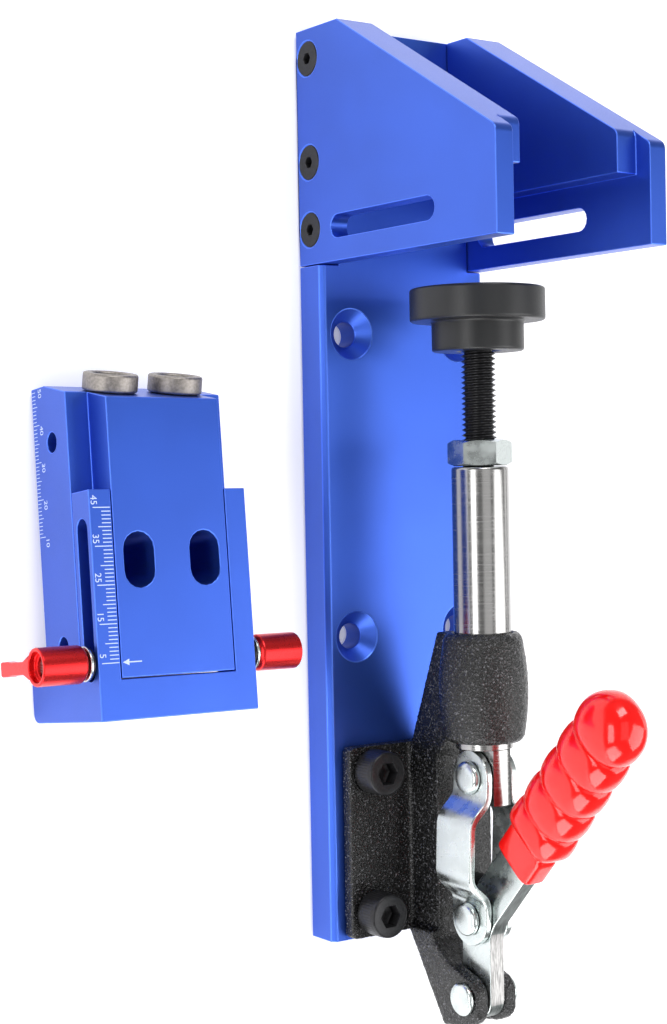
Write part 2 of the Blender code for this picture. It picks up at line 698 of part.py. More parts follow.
def grip_section(along):
    """Half width, half thickness and squareness of the grip at a distance along the handle."""
    first, last = GRIP_BULGES[0], GRIP_BULGES[-1]
    collar_end = GRIP_FROM + COLLAR_LENGTH
    if along <= collar_end:
        return COLLAR_HALF_WIDTH, COLLAR_HALF_THICK, 5.0
    nearest = min(GRIP_BULGES, key=lambda bulge: abs(bulge - along))
    pitch = (last - first) / (len(GRIP_BULGES) - 1)
    if along < first:
        share = (along - collar_end) / (first - collar_end)
        swell = sin(pi / 2 * share)
        wide = COLLAR_HALF_WIDTH + (GRIP_HALF_WIDTH - COLLAR_HALF_WIDTH) * swell
        thick = COLLAR_HALF_THICK + (GRIP_HALF_THICK - COLLAR_HALF_THICK) * swell
        return wide, thick, 5.0 - 2.7 * swell
    if along > last:
        share = min(1.0, (along - last) / (GRIP_TO - last))
        swell = sqrt(max(0.0, 1 - share ** 2))
        return GRIP_HALF_WIDTH * swell, GRIP_HALF_THICK * swell, 2.3
    offset = abs(along - nearest) / (pitch / 2)
    swell = 0.87 + 0.13 * sqrt(max(0.0, 1 - offset ** 2))
    return GRIP_HALF_WIDTH * swell, GRIP_HALF_THICK * swell, 2.3


def grip_stations():
    """Distances along the handle at which the grip's section is taken."""
    collar_end = GRIP_FROM + COLLAR_LENGTH
    stations = [GRIP_FROM, collar_end]
    stations += [collar_end + (GRIP_BULGES[0] - collar_end) * share for share in (0.3, 0.65, 1.0)]
    for bulge, after in zip(GRIP_BULGES, GRIP_BULGES[1:]):
        stations += [bulge + (after - bulge) * share for share in (0.22, 0.38, 0.47, 0.53, 0.62, 0.78, 1.0)]
    end = GRIP_TO - GRIP_BULGES[-1]
    stations += [GRIP_BULGES[-1] + end * sin(pi / 2 * k / 7) for k in range(1, 7)]
    return stations


def handle_grip(carrier):
    """Vinyl grip with five finger bulges, a flat collar and a pocket for the bar."""
    start, ahead, across = handle_frame()
    shape = bmesh.new()
    rings = []
    for along in grip_stations():
        wide, thick, power = grip_section(along)
        ring = []
        for k in range(SMALL_ROUND):
            turn = 2 * pi * k / SMALL_ROUND
            c, s = cos(turn), sin(turn)
            x = thick * abs(c) ** (2 / power) * (1 if c >= 0 else -1)
            side = wide * abs(s) ** (2 / power) * (1 if s >= 0 else -1)
            point = start + ahead * along + across * side
            ring.append(shape.verts.new((x, point.x, point.y)))
        rings.append(ring)
    for ring, after in zip(rings, rings[1:]):
        for k in range(SMALL_ROUND):
            n = (k + 1) % SMALL_ROUND
            shape.faces.new((ring[k], ring[n], after[n], after[k]))
    tip = start + ahead * GRIP_TO
    crown = shape.verts.new((0, tip.x, tip.y))
    for k in range(SMALL_ROUND):
        shape.faces.new((rings[-1][k], rings[-1][(k + 1) % SMALL_ROUND], crown))
    shape.faces.new(rings[0])
    made = piece("handle_grip", shape, VINYL_RED, carrier)
    pocket = []
    low = GRIP_FROM - GAP
    high = BAR_LENGTH + GAP
    for along, side in ((low, -1), (high, -1), (high, 1), (low, 1)):
        corner = start + ahead * along + across * side * (ARM_HALF_WIDTH + GAP)
        pocket.append((corner.x, corner.y))
    cut(made, prism(pocket, "X", -BAR_HALF - GAP, BAR_HALF + GAP))


def drill_frame(side):
    """Matrix on a drill hole's axis, its origin on the block's slanting top and its Z pointing out."""
    drop = (DRILL_DEPTH - BLOCK_TOP_FLAT) * tan(DRILL_ANGLE)
    place = Matrix.Translation((side * DRILL_X, BLOCK_LENGTH - drop, DRILL_DEPTH))
    return place @ Matrix.Rotation(DRILL_ANGLE - pi / 2, 4, "X")


def guide_block(seat):
    """T-shaped block with two slanting drill holes, chip windows and tapped side holes."""
    wide, ridge = BLOCK_HALF_WIDTH, RIDGE_HALF_WIDTH
    section = [(-wide, 0), (wide, 0), (wide, BLOCK_FLANGE), (ridge, BLOCK_FLANGE), (ridge, BLOCK_DEPTH)]
    section += [(-ridge, BLOCK_DEPTH), (-ridge, BLOCK_FLANGE), (-wide, BLOCK_FLANGE)]
    made = piece("guide_block", prism(section, "Y", 0, BLOCK_LENGTH), BLUE, seat)
    reach = BLOCK_DEPTH + GAP
    drop = (reach - BLOCK_TOP_FLAT) * tan(DRILL_ANGLE)
    slope = [(BLOCK_LENGTH, BLOCK_TOP_FLAT), (BLOCK_LENGTH - drop, reach), (BLOCK_LENGTH + drop, reach)]
    slope.append((BLOCK_LENGTH + drop, BLOCK_TOP_FLAT))
    cut(made, prism(slope, "X", -2 * wide, 2 * wide))
    bores = []
    windows = []
    for side in (-1, 1):
        deep = BLOCK_LENGTH + BLOCK_DEPTH
        mouth = BUSH_RADIUS + GAP
        floor = -BUSH_LENGTH - GAP
        bore = DRILL_BORE / 2
        profile = [(0, mouth), (mouth, mouth), (mouth, floor), (bore, floor), (bore, -deep), (0, -deep)]
        bores.append(turned(profile, drill_frame(side), SMALL_ROUND))
        half = (WINDOW_HEIGHT - WINDOW_WIDTH) / 2
        ends = [(side * DRILL_X, WINDOW_Y - half), (side * DRILL_X, WINDOW_Y + half)]
        windows.append(prism(stadium(*ends, WINDOW_WIDTH / 2), "Z", DRILL_DEPTH / 2, BLOCK_DEPTH + GAP))
    cut(made, *bores)
    cut(made, *windows)
    taps = []
    for side in (-1, 1):
        for y in SIDE_HOLES_Y:
            inner = (side * (wide - SIDE_HOLE_DEPTH), y, SIDE_HOLE_Z)
            taps.append(rod(SIDE_HOLE / 2, inner, (side * (wide + GAP), y, SIDE_HOLE_Z), SMALL_ROUND))
        inner = (side * (ridge - STUD_DEPTH), STUD_Y, STUD_Z)
        taps.append(rod(STUD_RADIUS + GAP, inner, (side * (ridge + GAP), STUD_Y, STUD_Z), SMALL_ROUND))
    cut(made, *taps)


def drill_bush(name, side, seat):
    """Hardened bush: a sleeve in the block and a collar on its slanting top."""
    edge = 0.0005
    bore = DRILL_BORE / 2
    low = -BUSH_LENGTH
    top = GAP + BUSH_COLLAR_HEIGHT
    profile = [(bore, low), (BUSH_RADIUS, low), (BUSH_RADIUS, GAP), (BUSH_COLLAR, GAP)]
    profile += [(BUSH_COLLAR, top - edge), (BUSH_COLLAR - edge, top)]
    profile += [(bore + 2 * edge, top), (bore, top - 2 * edge)]
    piece(name, turned(profile, drill_frame(side), SMALL_ROUND), STEEL, seat)


def slide_frame(carrier):
    """U-shaped frame: two slotted arms beside the ridge and a deep bar across the block's lower end."""
    wide = BLOCK_HALF_WIDTH
    top = -GAP
    low = top - FRAME_BAR
    bar = [(low, -FRAME_LIP, FRAME_CORNER), (top, -FRAME_LIP, 0)]
    bar += [(top, BLOCK_DEPTH, 0), (low, BLOCK_DEPTH, 0)]
    made = piece("slide_frame", prism(rounded(bar), "X", -wide, wide), BLUE, carrier)
    arms = []
    slots = []
    half = FRAME_SLOT_WIDTH / 2
    for side in (-1, 1):
        x = sorted((side * FRAME_INNER, side * wide))
        arms.append(box(x, (low / 2, FRAME_HEIGHT), (BLOCK_FLANGE + GAP, BLOCK_DEPTH)))
        ends = [(FRAME_SLOT_START + half, STUD_Z), (FRAME_HEIGHT - FRAME_SLOT_WALL - half, STUD_Z)]
        slot = stadium(*ends, half)
        slots.append(prism(slot, "X", x[0] - GAP, x[1] + GAP))
    join(made, *arms)
    cut(made, *slots)


def knob(name, side, carrier):
    """Red lock knob with a flat lever that points to the block's back."""
    face = BLOCK_HALF_WIDTH + 2 * GAP + WASHER_THICK
    edge = 0.0010
    recess = 0.0018
    place = along_x(side, side * face, STUD_Y, STUD_Z)
    bore = STUD_RADIUS + GAP
    profile = [(bore, 0), (KNOB_RADIUS - edge, 0), (KNOB_RADIUS, edge), (KNOB_RADIUS, KNOB_LENGTH)]
    profile += [(KNOB_RECESS, KNOB_LENGTH), (KNOB_RECESS, KNOB_LENGTH - recess), (bore, KNOB_LENGTH - recess)]
    made = piece(name, turned(profile, place, SMALL_ROUND), ANODISED_RED, carrier)
    out = side * (face + KNOB_LENGTH)
    inner = out - side * LEVER_THICK
    waist = STUD_Z - KNOB_RADIUS * 0.8
    tip = STUD_Z - LEVER_LENGTH
    wide = LEVER_HALF_WIDTH
    neck = LEVER_HALF_WIDTH * 0.86
    paddle = rounded([
        (STUD_Y - wide * 1.6, waist, 0),
        (STUD_Y - neck, waist - 0.0035, 0.0020),
        (STUD_Y - neck, tip + 0.0060, 0),
        (STUD_Y - wide, tip + 0.0040, 0),
        (STUD_Y - wide, tip, 0.0008),
        (STUD_Y + wide, tip, 0.0008),
        (STUD_Y + wide, tip + 0.0040, 0),
        (STUD_Y + neck, tip + 0.0060, 0),
        (STUD_Y + neck, waist - 0.0035, 0.0020),
        (STUD_Y + wide * 1.6, waist, 0),
    ], 4)
    join(made, prism(paddle, "X", *sorted((out, inner))))
    return face


def knob_parts(side, label, carrier):
    """Stud from the block's ridge through the frame's slot, washer and knob of one side."""
    face = knob("knob_" + label, side, carrier)
    start = side * (RIDGE_HALF_WIDTH - STUD_DEPTH + GAP)
    end = side * (face + KNOB_LENGTH - 0.0022)
    stud = rod(STUD_RADIUS, (start, STUD_Y, STUD_Z), (end, STUD_Y, STUD_Z), SMALL_ROUND)
    piece("knob_stud_" + label, stud, STEEL, carrier)
    hole = STUD_RADIUS + GAP
    ring = [(hole, 0), (WASHER_RADIUS, 0), (WASHER_RADIUS, WASHER_THICK), (hole, WASHER_THICK)]
    place = along_x(side, side * (BLOCK_HALF_WIDTH + GAP), STUD_Y, STUD_Z)
    piece("knob_washer_" + label, turned(ring, place, SMALL_ROUND), ZINC, carrier)


def make_station():
    """Plate, cheeks and their screws."""
    base_plate()
    for side, label in ((-1, "left"), (1, "right")):
        cheek("cheek_" + label, side)
        for number, rise in enumerate(CHEEK_SCREW_RISES, 1):
            cheek_screw("cheek_screw_%s_%d" % (label, number), side, rise)


def make_clamp():
    """Casting with its screws, and the moving plunger, links and handle."""
    clamp_body()
    places = [(x, y) for x in (-FLANGE_SCREW_X, FLANGE_SCREW_X) for y in FLANGE_SCREWS_Y]
    for number, (x, y) in enumerate(places, 1):
        flange_screw("flange_screw_%d" % number, x, y)
    through_rivet("tail_rivet", TAIL_Y, TAIL_HALF + GAP)
    slider = pivot("plunger_axis", (0, PLUNGER_PIVOT_Y, AXIS_Z))
    plunger(slider)
    spindle(slider)
    lock_nut(slider)
    clamp_pad(slider)
    tail = pivot("handle_axis", (0, TAIL_Y, LINK_Z))
    handle_bar(tail)
    handle_grip(tail)
    through_rivet("elbow_rivet", ELBOW_Y, ELBOW_INNER + STRAP_THICK + GAP, tail)
    elbow = pivot("link_axis", (0, ELBOW_Y, LINK_Z))
    for side, label in ((-1, "left"), (1, "right")):
        link("link_" + label, side, elbow)
        stub_rivet("link_rivet_" + label, side, elbow)


def make_block():
    """Guide block with its bushes, slide frame and lock knobs, under the empties that lay it down."""
    place = pivot("block_place", (*BLOCK_PLACE, BLOCK_LIFT))
    place.rotation_euler = (-BLOCK_TILT, 0, BLOCK_TURN)
    seat = pivot("block_seat", (0, 0, 0), place)
    guide_block(seat)
    slide_frame(seat)
    for side, label in ((-1, "left"), (1, "right")):
        drill_bush("drill_bush_" + label, side, seat)
        knob_parts(side, label, pivot("knob_axis_" + label, (0, STUD_Y, STUD_Z), seat))


def set_origin():
    """Move everything along Y until the origin is the middle of the mounting holes."""
    middle = sum(MOUNT_HOLES_Y) / len(MOUNT_HOLES_Y)
    for thing in bpy.data.objects:
        if thing.parent is None:
            thing.location.y -= middle


def main():
    clear_scene()
    make_station()
    make_clamp()
    make_block()
    set_origin()


main()
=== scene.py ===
"""Finish of a pocket-hole drill guide: a wall station with a push-pull clamp, and its guide block.

Lengths are in metres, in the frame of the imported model: +X across the station, +Y along it towards the
cheeks, +Z out of its face. Each operator below makes one piece, or one group of like pieces.
"""

import json
import math

import bmesh
import bpy
import numpy as np
from bpy.props import FloatProperty, FloatVectorProperty, IntProperty, PointerProperty
from mathutils import Matrix, Vector


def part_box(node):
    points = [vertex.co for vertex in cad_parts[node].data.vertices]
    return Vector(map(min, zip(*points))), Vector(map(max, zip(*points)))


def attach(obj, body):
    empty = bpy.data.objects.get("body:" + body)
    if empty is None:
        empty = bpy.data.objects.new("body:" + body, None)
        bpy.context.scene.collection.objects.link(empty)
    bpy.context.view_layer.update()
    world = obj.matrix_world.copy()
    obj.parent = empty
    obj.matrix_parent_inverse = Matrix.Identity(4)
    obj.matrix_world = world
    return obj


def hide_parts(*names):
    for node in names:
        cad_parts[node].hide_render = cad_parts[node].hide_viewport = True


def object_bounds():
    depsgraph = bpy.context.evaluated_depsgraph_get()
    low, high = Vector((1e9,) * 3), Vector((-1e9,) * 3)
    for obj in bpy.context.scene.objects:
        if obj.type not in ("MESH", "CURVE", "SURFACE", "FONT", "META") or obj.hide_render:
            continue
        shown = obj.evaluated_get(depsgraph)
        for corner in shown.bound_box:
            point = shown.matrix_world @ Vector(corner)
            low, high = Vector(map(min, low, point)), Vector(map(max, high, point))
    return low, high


bl_info = {
    "name": "Pocket-Hole Drill Guide",
    "version": (1, 0, 0),
    "blender": (4, 5, 0),
    "location": "3D View > Sidebar > Drill Guide",
    "description": "Finishes the station, the clamp and the guide block of a pocket-hole drill guide",
    "category": "Object",
}

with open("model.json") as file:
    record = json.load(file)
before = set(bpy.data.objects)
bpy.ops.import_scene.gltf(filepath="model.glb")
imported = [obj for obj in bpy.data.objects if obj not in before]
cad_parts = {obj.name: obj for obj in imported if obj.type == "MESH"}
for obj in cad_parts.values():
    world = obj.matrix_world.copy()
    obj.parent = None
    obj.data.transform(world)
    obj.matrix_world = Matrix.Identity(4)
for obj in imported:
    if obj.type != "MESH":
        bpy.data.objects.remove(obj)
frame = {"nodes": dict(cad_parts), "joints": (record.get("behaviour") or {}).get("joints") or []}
CAD_BOX = [list(corner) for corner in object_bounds()]

X, Y, Z = np.eye(3)
MM = 0.001
ROUND = 96
SHARP = math.radians(38)

JOINTS = {joint["name"]: joint for joint in frame["joints"]}
TAIL_PIVOT = np.array(JOINTS["handle_swing"]["pos_m"])
ELBOW = np.array(JOINTS["link_swing"]["pos_m"])
BLOCK_X = np.array(JOINTS["knob_turn_left"]["axis"])
BLOCK_Y = -np.array(JOINTS["stop_slide"]["axis"])
BLOCK_Z = np.cross(BLOCK_X, BLOCK_Y)
KNOB_POINT = np.array(JOINTS["knob_turn_left"]["pos_m"])

# The knobs' axis crosses the guide block at this place of the block's own frame
KNOB_Y = 4.2 * MM
KNOB_Z = 24.55 * MM
BLOCK_ORIGIN = KNOB_POINT - KNOB_Y * BLOCK_Y - KNOB_Z * BLOCK_Z
BLOCK_HALF_WIDTH = 23.65 * MM
CLEARANCE = 0.3 * MM


def srgb(code):
    """Linear colour of an sRGB hex value: over 12.92 near black, else ((c + 0.055) / 1.055) to the 2.4."""
    parts = [int(code[place:place + 2], 16) / 255 for place in (1, 3, 5)]
    return tuple(c / 12.92 if c <= 0.04045 else ((c + 0.055) / 1.055) ** 2.4 for c in parts)


def colour_property(name, description, code):
    return FloatVectorProperty(name=name, description=description, subtype="COLOR", size=3, min=0.0, max=1.0,
                               default=srgb(code))


def length_property(name, description, default):
    return FloatProperty(name=name, description=description, unit="LENGTH", min=0.0, default=default,
                         precision=5)


class DrillGuideSizes(bpy.types.PropertyGroup):
    """Sizes of the finish that the solids leave out."""

    edge: length_property("Plate edge", "Width of a plate's broken edge", 0.00028)
    bar_edge: length_property("Bar edge", "Rounding of the handle bar's edge", 0.00032)
    thread_pitch: length_property("Thread pitch", "Pitch of the spindle's thread", 0.0015)
    thread_depth: length_property("Thread depth", "Depth of the spindle's thread", 0.00092)
    cast_grain: length_property("Cast grain", "Width of the casting's bumps", 0.0011)
    cast_relief: length_property("Cast relief", "Height of the casting's bumps", 0.00036)
    mark_width: length_property("Mark width", "Width of an engraved line", 0.00024)
    mark_height: length_property("Mark height", "Rise of a line's white fill", 0.00003)
    digit: length_property("Digit size", "Height of the scale's numbers", 0.0026)
    knurls: IntProperty(name="Knurls", description="Ridges round a socket screw's head", default=48, min=12)


class DrillGuideColours(bpy.types.PropertyGroup):
    """Colours of the finishes."""

    blue: colour_property("Blue anodising", "Dyed oxide on the milled aluminium", "#335CC6")
    # Lighter than the flats' blue: a painted highlight along the chamfers
    blue_edge: colour_property("Broken edge", "The same dye on a chamfer", "#5780F0")
    red: colour_property("Red anodising", "Dyed oxide on the lock knobs", "#E0181C")
    enamel: colour_property("Black enamel", "Paint on the casting", "#121213")
    oxide: colour_property("Black oxide", "Screws and spindle", "#28282A")
    steel: colour_property("Ground steel", "Plunger and studs", "#A5A4A3")
    bush: colour_property("Hardened steel", "Drill bushes", "#9F9994")
    zinc: colour_property("Zinc plate", "Links, handle, rivets and nut", "#CCD3D2")
    # Darker copy of the steel edge: painted shade for the band that slants along the arm
    shear: colour_property("Sheared edge", "Stamped edge of the handle", "#7F8584")
    pad: colour_property("Black moulding", "Pad on the spindle", "#17181A")
    vinyl: colour_property("Red vinyl", "Dipped grip", "#EC100C")
    marking: colour_property("Marking", "Fill of the engraved lines", "#C6D6FB")
    floor: colour_property("Floor", "Plain pale floor", "#FAFAFB")


def sizes():
    return bpy.context.scene.drill_guide_sizes


def colours():
    return bpy.context.scene.drill_guide_colours


# Materials

def add_node(tree, kind, settings=None, values=None, links=None):
    """Adds a node: settings are its own properties, values its sockets, links {socket: (node, output)}."""
    node = tree.nodes.new(kind)
    for name, value in (settings or {}).items():
        setattr(node, name, value)
    for name, value in (values or {}).items():
        node.inputs[name].default_value = value
    for name, (source, output) in (links or {}).items():
        tree.links.new(source.outputs[output], node.inputs[name])
    return node


def new_material(name, colour, metallic, roughness, more=None):
    """Material with its tree, its shader, on which more sets further sockets, and its coordinates."""
    made = bpy.data.materials.new(name)
    made.use_nodes = True
    tree = made.node_tree
    shader = tree.nodes["Principled BSDF"]
    values = {"Base Color": (*colour, 1.0), "Metallic": metallic, "Roughness": roughness, **(more or {})}
    for socket, value in values.items():
        shader.inputs[socket].default_value = value
    place = add_node(tree, "ShaderNodeTexCoord")
    return made, tree, shader, place


def noise(tree, place, grain, stretch=(1.0, 1.0, 1.0), detail=3.0):
    """Noise whose features are about one grain across, stretched along the axes."""
    mapping = add_node(tree, "ShaderNodeMapping", values={"Scale": [1 / s for s in stretch]},
                       links={"Vector": (place, "Object")})
    return add_node(tree, "ShaderNodeTexNoise", values={"Scale": 1 / grain, "Detail": detail},
                    links={"Vector": (mapping, "Vector")})


def vary_colour(tree, shader, source, colour, low, high, span=(0.35, 0.65)):
    """Base colour that runs between two strengths of one colour over a span of a pattern's values."""
    ramp = add_node(tree, "ShaderNodeValToRGB", links={"Fac": (source, "Fac")})
    for stop, place, share in zip(ramp.color_ramp.elements, span, (low, high)):
        stop.position = place
        stop.color = (*[min(1.0, c * share) for c in colour], 1.0)
    tree.links.new(ramp.outputs["Color"], shader.inputs["Base Color"])


def vary_roughness(tree, shader, source, low, high):
    """Roughness that runs between two values with a pattern."""
    limits = {"From Min": 0.3, "From Max": 0.7, "To Min": low, "To Max": high}
    span = add_node(tree, "ShaderNodeMapRange", values=limits, links={"Value": (source, "Fac")})
    tree.links.new(span.outputs["Result"], shader.inputs["Roughness"])


def add_bump(tree, shader, source, height, strength=1.0):
    """Bump of a pattern, with its height in metres."""
    bump = add_node(tree, "ShaderNodeBump", values={"Strength": strength, "Distance": height},
                    links={"Height": (source, "Fac")})
    tree.links.new(bump.outputs["Normal"], shader.inputs["Normal"])


def anodised_aluminium(name, colour, roughness):
    """Bead-blasted and dyed aluminium: a metal with a coloured satin sheen. The blasting leaves pits of about
    0.1 mm, too fine to show, so they are drawn 0.3 mm across."""
    coat = {"Coat Weight": 0.35, "Coat Roughness": 0.35}
    made, tree, shader, place = new_material(name, colour, 0.9, roughness, coat)
    blast = noise(tree, place, 0.3 * MM, detail=2.0)
    cloud = noise(tree, place, 28 * MM, detail=2.0)
    vary_colour(tree, shader, cloud, colour, 0.95, 1.04)
    vary_roughness(tree, shader, blast, roughness - 0.04, roughness + 0.05)
    add_bump(tree, shader, blast, 0.01 * MM, 0.5)
    return made


def broken_edge(name, colour):
    """Machined chamfer under the dye, smoother than the blasted flats. Its colour is a lighter blue than the
    flats': a painted highlight that draws the edge as a thin bright line.
    """
    made, tree, shader, place = new_material(name, colour, 0.9, 0.34)
    vary_roughness(tree, shader, noise(tree, place, 1.5 * MM), 0.28, 0.4)
    return made


def cast_enamel(name, colour):
    """Sand-cast iron under glossy black enamel, with a bumpy grain of about 0.5 mm. The colour runs darker
    than the enamel in the grain's hollows and up to pale specks on its tops: the specks are painted glints."""
    made, tree, shader, place = new_material(name, colour, 0.0, 0.3)
    grain = noise(tree, place, 0.6 * MM, detail=3.0)
    # Pale specks on the grain's tops are painted glints
    vary_colour(tree, shader, grain, colour, 0.25, 30.0, (0.58, 0.72))
    vary_roughness(tree, shader, grain, 0.34, 0.2)
    add_bump(tree, shader, grain, 0.4 * MM, 1.0)
    return made


def black_oxide(name, colour):
    """Oiled black oxide on steel: near black, with a dull metal gleam and fine mottling."""
    made, tree, shader, place = new_material(name, colour, 0.6, 0.34)
    grain = noise(tree, place, 0.7 * MM)
    vary_colour(tree, shader, grain, colour, 0.8, 1.35)
    vary_roughness(tree, shader, grain, 0.28, 0.42)
    add_bump(tree, shader, grain, 0.01 * MM, 0.4)
    return made


def turned_steel(name, colour, roughness, stretch, low):
    """Ground steel bar: bright, with fine rings left by the wheel, drawn 0.25 mm apart."""
    made, tree, shader, place = new_material(name, colour, 1.0, roughness)
    rings = noise(tree, place, 0.25 * MM, stretch, 2.0)
    vary_colour(tree, shader, rings, colour, low, 1.05)
    vary_roughness(tree, shader, rings, roughness - 0.05, roughness + 0.08)
    add_bump(tree, shader, rings, 0.006 * MM, 0.5)
    return made


def zinc_plate(name, colour):
    """Bright zinc over rolled steel: a cool mirror, clouded, with the roll's faint streaks underneath."""
    made, tree, shader, place = new_material(name, colour, 1.0, 0.24)
    cloud = noise(tree, place, 4.5 * MM, detail=5.0)
    streak = noise(tree, place, 0.5 * MM, (1.0, 7.0, 1.0), 3.0)
    vary_colour(tree, shader, cloud, colour, 0.86, 1.08)
    vary_roughness(tree, shader, cloud, 0.17, 0.36)
    add_bump(tree, shader, streak, 0.02 * MM, 0.6)
    return made


def sheared_edge(name, colour):
    """Edge of the stamped handle: the cut leaves a dull band, darker than the plated faces, with ragged
    streaks about 0.3 mm apart along the edge. In the darker of its two colours it is painted shade, for the
    band where it slants along the arm."""
    made, tree, shader, place = new_material(name, colour, 1.0, 0.42)
    streak = noise(tree, place, 0.35 * MM, (1.0, 9.0, 9.0), 4.0)
    vary_colour(tree, shader, streak, colour, 0.45, 1.2)
    vary_roughness(tree, shader, streak, 0.34, 0.52)
    add_bump(tree, shader, streak, 0.08 * MM, 0.8)
    return made


def moulded_black(name, colour):
    """Moulded polymer with a satin skin and a fine spark-eroded grain, drawn 0.4 mm across."""
    made, tree, shader, place = new_material(name, colour, 0.0, 0.42)
    grain = noise(tree, place, 0.4 * MM, detail=2.0)
    vary_roughness(tree, shader, grain, 0.36, 0.48)
    add_bump(tree, shader, grain, 0.012 * MM, 0.5)
    return made


def dipped_vinyl(name, colour):
    """Dipped plastisol: thick soft red skin, very glossy, with the slow waves of a coat that ran."""
    skin = {"Subsurface Weight": 0.12, "Subsurface Radius": (0.003, 0.0006, 0.0005), "Subsurface Scale": 1.0,
            "Specular IOR Level": 0.35, "Coat Weight": 0.4, "Coat Roughness": 0.06}
    made, tree, shader, place = new_material(name, colour, 0.0, 0.16, skin)
    waves = noise(tree, place, 6 * MM, detail=1.0)
    vary_colour(tree, shader, waves, colour, 0.93, 1.03)
    vary_roughness(tree, shader, waves, 0.12, 0.22)
    add_bump(tree, shader, waves, 0.25 * MM, 0.5)
    return made


def white_fill(name, colour):
    """Laser-bleached oxide of the scale: matt, almost white, slightly broken up."""
    made, tree, shader, place = new_material(name, colour, 0.0, 0.6)
    vary_colour(tree, shader, noise(tree, place, 0.3 * MM), colour, 0.88, 1.0)
    return made


def floor_paper(name, colour):
    """Studio paper on a light table: matt and pale, with a faint tooth and a glow from beneath."""
    glow = {"Emission Color": (*colour, 1.0), "Emission Strength": 0.27}
    made, tree, shader, place = new_material(name, colour, 0.0, 0.85, glow)
    vary_colour(tree, shader, noise(tree, place, 60 * MM), colour, 0.995, 1.0)
    return made


def finish(name):
    """Material by its name, made the first time that a piece asks for it."""
    if name in bpy.data.materials:
        return bpy.data.materials[name]
    paint = colours()
    makers = {
        "blue_anodised_aluminium": (anodised_aluminium, paint.blue, 0.42),
        # The chamfers' lighter blue is a painted highlight
        "blue_broken_edge": (broken_edge, paint.blue_edge),
        "red_anodised_aluminium": (anodised_aluminium, paint.red, 0.3),
        "black_cast_enamel": (cast_enamel, paint.enamel),
        "black_oxide_steel": (black_oxide, paint.oxide),
        "ground_steel": (turned_steel, paint.steel, 0.2, (40.0, 1.0, 40.0), 0.93),
        "hardened_steel": (turned_steel, paint.bush, 0.48, (3.0, 3.0, 3.0), 0.7),
        "zinc_plated_steel": (zinc_plate, paint.zinc),
        # Painted shade: the darker copy for the band that slants along the arm
        "sheared_zinc_edge": (sheared_edge, paint.shear),
        "bare_steel_edge": (sheared_edge, paint.steel),
        "black_moulded_polymer": (moulded_black, paint.pad),
        "red_dipped_vinyl": (dipped_vinyl, paint.vinyl),
        "white_laser_marking": (white_fill, paint.marking),
        "studio_paper": (floor_paper, paint.floor),
    }
    maker, *values = makers[name]
    return maker(name, *values)


# Slot and finish of pieces that share them
ZINC = ("zinc_plate", "zinc_plated_steel")
OXIDE = ("black_oxide", "black_oxide_steel")
BRIGHT = ("bright_steel", "ground_steel")
MARKING = ("blue_aluminium", "white_laser_marking")


# Shapes

def new_object(name, data):
    thing = bpy.data.objects.new(name, data)
    bpy.context.scene.collection.objects.link(thing)
    return thing


def baked(thing):
    """Mesh of an object with its modifiers applied. The object is removed."""
    graph = bpy.context.evaluated_depsgraph_get()
    mesh = bpy.data.meshes.new_from_object(thing.evaluated_get(graph))
    bpy.data.objects.remove(thing)
    return mesh


def mesh_of(shape, name):
    """Mesh of an edited shape, which is freed."""
    mesh = bpy.data.meshes.new(name)
    shape.to_mesh(mesh)
    shape.free()
    return mesh


def shape_of(mesh, gap):
    """Shape of a mesh for editing, with points closer than the gap made one."""
    shape = bmesh.new()
    shape.from_mesh(mesh)
    bmesh.ops.remove_doubles(shape, verts=shape.verts, dist=gap)
    return shape


def closed_mesh(name, points, faces):
    """Mesh of points and faces, merged where points coincide, with its normals outwards."""
    mesh = bpy.data.meshes.new(name)
    mesh.from_pydata(points, [], faces)
    shape = shape_of(mesh, 1e-7)
    bmesh.ops.dissolve_degenerate(shape, dist=1e-7, edges=shape.edges)
    bmesh.ops.recalc_face_normals(shape, faces=shape.faces)
    shape.to_mesh(mesh)
    shape.free()
    return mesh


def surface(name, grid, ring=False):
    """Closed mesh of a grid of points: point (r, c) joins (r + 1, c) and (r, c + 1), and the last column
    joins the first. The end rows get a flat cap each, or join each other if ring is set."""
    rows, columns = grid.shape[:2]
    index = np.arange(rows * columns).reshape(rows, columns)
    if ring:
        index = np.vstack([index, index[:1]])
    turned_on = np.roll(index, -1, axis=1)
    corners = [index[:-1], turned_on[:-1], turned_on[1:], index[1:]]
    faces = np.stack(corners, axis=-1).reshape(-1, 4).tolist()
    if not ring:
        faces += [index[0].tolist(), index[-1].tolist()]
    return closed_mesh(name, grid.reshape(-1, 3), faces)


def add_piece(name, mesh, body, slot, *finishes, node=None):
    """Object of a finished mesh, smooth up to its sharp edges, that rides a body and may stand for a node."""
    mesh.shade_smooth()
    mesh.set_sharp_from_angle(angle=SHARP)
    thing = new_object(name, mesh)
    for made in finishes:
        mesh.materials.append(finish(made))
    weights = thing.modifiers.new("Weighted Normals", "WEIGHTED_NORMAL")
    weights.keep_sharp = True
    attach(thing, body)
    if node:
        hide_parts(node)


